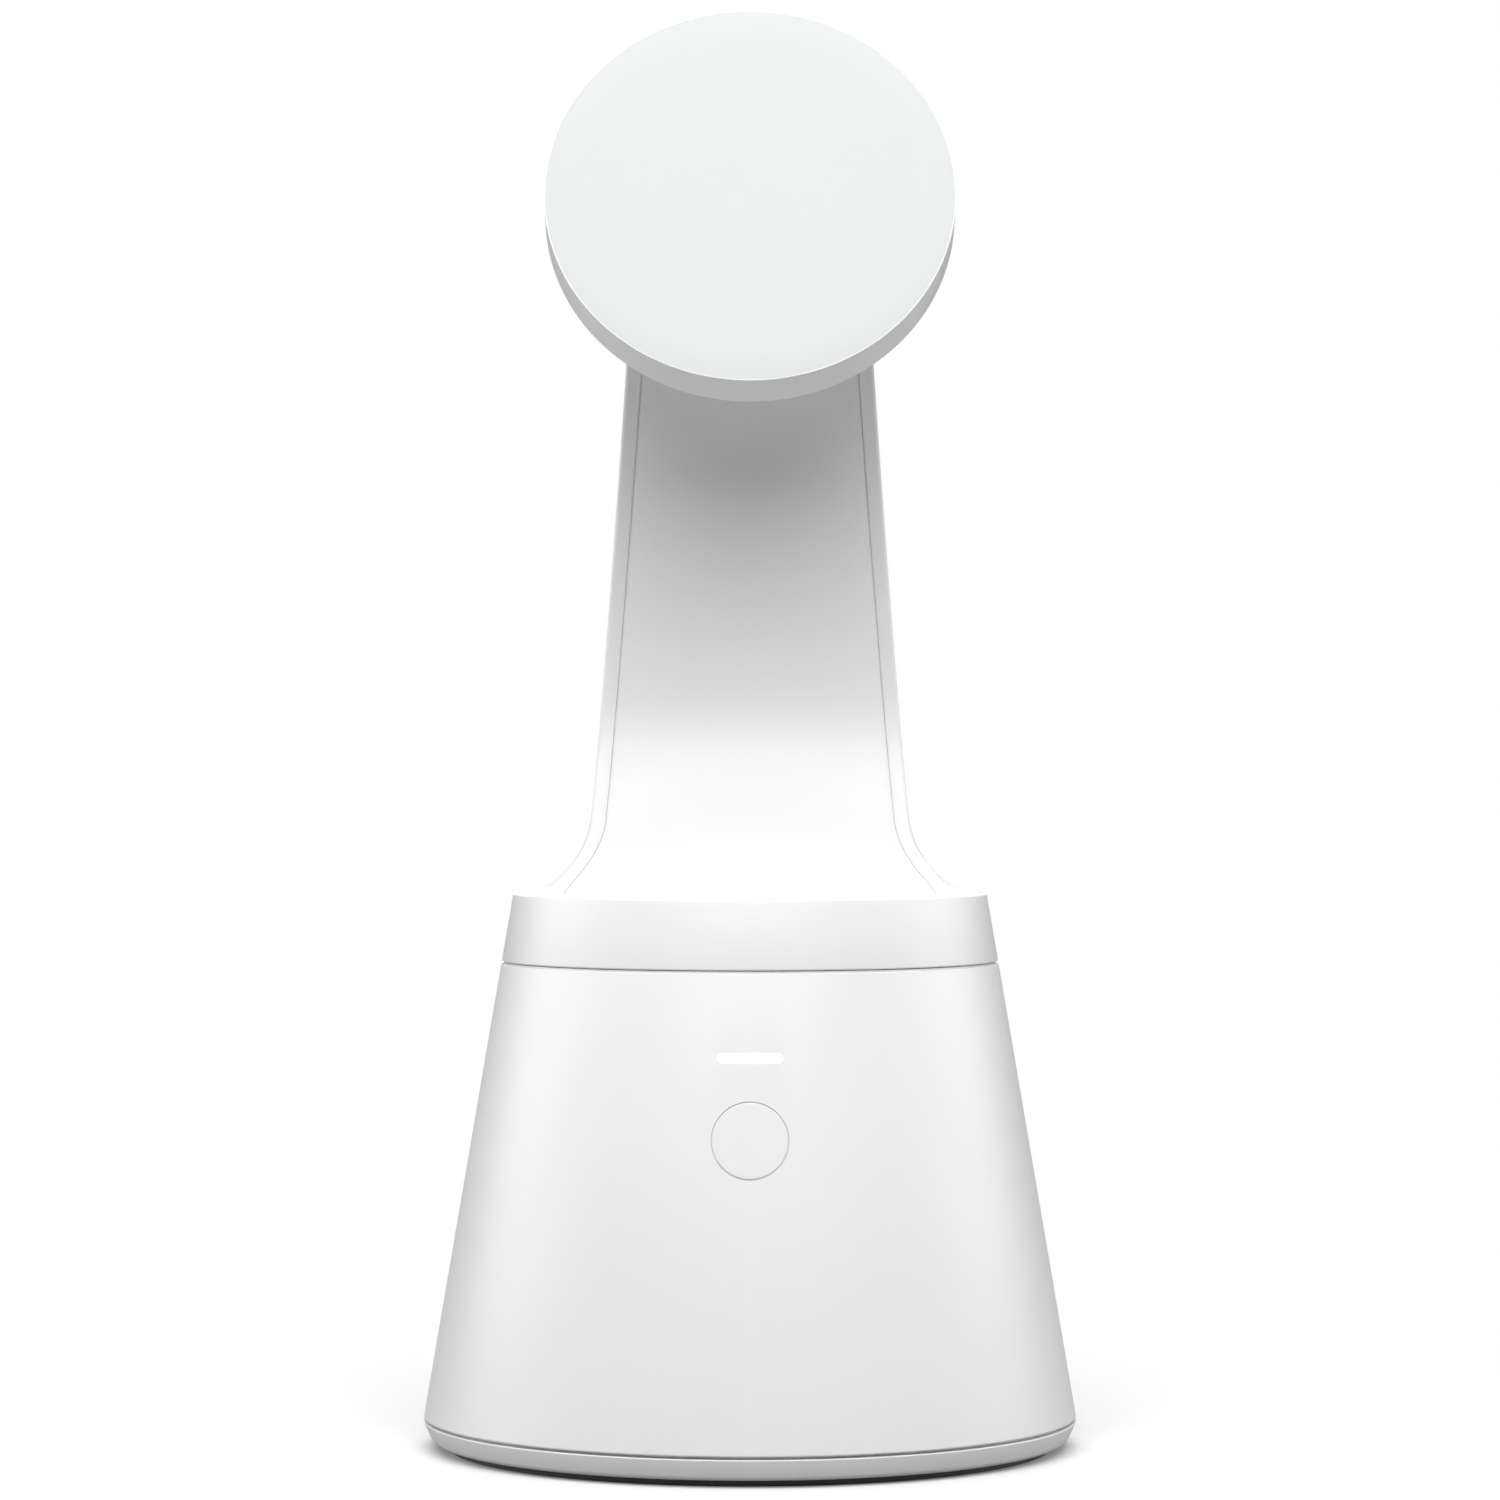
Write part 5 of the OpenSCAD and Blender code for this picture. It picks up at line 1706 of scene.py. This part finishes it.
@dataclass
class Studio:
    """Floor, soft lights and camera."""

    eye: Vector = field(default_factory=lambda: Vector((0.0, -0.765, 0.1004)))
    aim: Vector = field(default_factory=lambda: Vector((0.0, 0.0, 0.09)))
    pitch: float = math.radians(-0.054)
    lens: float = 128.0
    fill: float = 0.17
    floor_reach: float = 3.0
    floor_hole: float = 0.041
    floor_sides: int = 96
    floor_lift: float = 0.1
    shade_from: float = 0.05
    shade_to: float = 0.16

    def build(self) -> None:
        """Set the floor, the world, the lights and the camera."""
        self.floor()
        self.world()
        for softbox in SOFTBOXES:
            self.lamp(softbox)
        self.camera()

    def floor(self) -> None:
        """A plain pale floor, clear from below and open inside the foot so the underside is lit."""
        count = self.floor_sides
        turns = [2 * math.pi * i / count for i in range(count)]
        points = [(r * math.cos(a), r * math.sin(a), 0.0)
                  for r in (self.floor_hole, self.floor_reach) for a in turns]
        sides = [(i, i + count, (i + 1) % count + count, (i + 1) % count) for i in range(count)]
        mesh = bpy.data.meshes.new("studio_floor")
        mesh.from_pydata(points, [], sides)
        floor = bpy.data.objects.new("studio_floor", mesh)
        bpy.context.scene.collection.objects.link(floor)
        mesh.materials.append(self.floor_material())

    def floor_material(self) -> bpy.types.Material:
        """Pale grey for the object, fading to white for the camera, and clear from below.

        Returns:
            The floor's material.
        """
        material = bpy.data.materials.new("pale_floor")
        material.use_nodes = True
        tree = material.node_tree
        shader = tree.nodes["Principled BSDF"]
        feed(tree, shader, {"Base Color": (0.31, 0.31, 0.31, 1.0), "Roughness": 0.9,
                            "Specular IOR Level": 0.1})
        bright = add_node(tree, "ShaderNodeBsdfDiffuse", {"Color": (0.82, 0.82, 0.82, 1.0)})
        white = add_node(tree, "ShaderNodeEmission")
        where = add_node(tree, "ShaderNodeTexCoord")
        reach = add_node(tree, "ShaderNodeVectorMath", {0: where.outputs["Object"]},
                         operation="LENGTH")
        fade = add_node(tree, "ShaderNodeMapRange",
                        {"From Min": self.shade_from, "From Max": self.shade_to,
                         "To Min": self.floor_lift, "Value": reach.outputs["Value"]},
                        interpolation_type="SMOOTHSTEP")
        seen = add_node(tree, "ShaderNodeMixShader", {
            0: fade.outputs["Result"], 1: bright.outputs[0], 2: white.outputs[0]})
        path = add_node(tree, "ShaderNodeLightPath")
        pick = add_node(tree, "ShaderNodeMixShader", {
            0: path.outputs["Is Camera Ray"], 1: shader.outputs[0], 2: seen.outputs[0]})
        side = add_node(tree, "ShaderNodeNewGeometry")
        clear = add_node(tree, "ShaderNodeBsdfTransparent")
        top = add_node(tree, "ShaderNodeMixShader", {
            0: side.outputs["Backfacing"], 1: pick.outputs[0], 2: clear.outputs[0]})
        feed(tree, tree.nodes["Material Output"], {"Surface": top.outputs[0]})
        return material

    def world(self) -> None:
        """Light from above that grows with height, seen by the camera as plain white."""
        world = bpy.data.worlds.new("studio")
        bpy.context.scene.world = world
        world.use_nodes = True
        tree = world.node_tree
        where = add_node(tree, "ShaderNodeTexCoord")
        split = add_node(tree, "ShaderNodeSeparateXYZ", {0: where.outputs["Generated"]})
        sky = add_node(tree, "ShaderNodeMapRange",
                       {"From Max": 0.9, "To Max": self.fill, "Value": split.outputs["Z"]},
                       interpolation_type="SMOOTHSTEP")
        path = add_node(tree, "ShaderNodeLightPath")
        level = add_node(tree, "ShaderNodeMapRange",
                         {"To Max": 1.0, "To Min": sky.outputs["Result"],
                          "Value": path.outputs["Is Camera Ray"]})
        feed(tree, tree.nodes["Background"], {"Color": (1.0, 1.0, 1.0, 1.0),
                                              "Strength": level.outputs["Result"]})
        bpy.context.scene.view_settings.view_transform = "Standard"

    def lamp(self, softbox: Softbox) -> None:
        """Hang a light, turned to the object.

        Args:
            softbox: What the light is.
        """
        light = bpy.data.lights.new(softbox.name, "AREA")
        light.shape = "SQUARE"
        light.size = softbox.side
        light.energy = softbox.power
        lamp = bpy.data.objects.new(softbox.name, light)
        bpy.context.scene.collection.objects.link(lamp)
        lamp.location = softbox.place
        lamp.rotation_euler = (self.aim - lamp.location).to_track_quat("-Z", "Y").to_euler()

    def camera(self) -> None:
        """A level camera in front of the object."""
        data = bpy.data.cameras.new("camera")
        data.lens = self.lens
        data.sensor_width = 36.0
        data.clip_start = 0.01
        eye = bpy.data.objects.new("camera", data)
        bpy.context.scene.collection.objects.link(eye)
        eye.location = self.eye
        eye.rotation_euler = (math.pi / 2 + self.pitch, 0.0, 0.0)
        bpy.context.scene.camera = eye


# ---------------------------------------------------------------- making

def dress_nodes() -> int:
    """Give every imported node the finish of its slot.

    Returns:
        How many nodes were dressed.
    """
    slots = {s["node"]: s["material_slot"] for s in frame["record"]["subparts"]}
    for name, node in frame["nodes"].items():
        material = INNER_FINISHES[slots[name]].material()
        node.data.materials.clear()
        node.data.materials.append(material)
    return len(frame["nodes"])


def corners(box: tuple[Vector, Vector]) -> list[list[float]]:
    """A box's two corners as plain lists."""
    return [[float(c) for c in corner] for corner in box]


def main() -> None:
    """Build the studio and the object, piece by piece."""
    logging.basicConfig(level=logging.INFO, format="%(name)s: %(message)s")
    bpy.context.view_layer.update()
    Studio().build()
    log.info("%d packed nodes dressed", dress_nodes())
    plan = Layout.read()
    base = Base(plan)
    made = base.build()
    made.append(Button(plan, base.button_z()).build())
    made += Turret(plan).build()
    made += Head(plan).build()
    for piece in made:
        log.info("%s: %d faces", piece.name, len(piece.data.polygons))
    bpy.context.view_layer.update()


if __name__ == "__main__":
    main()
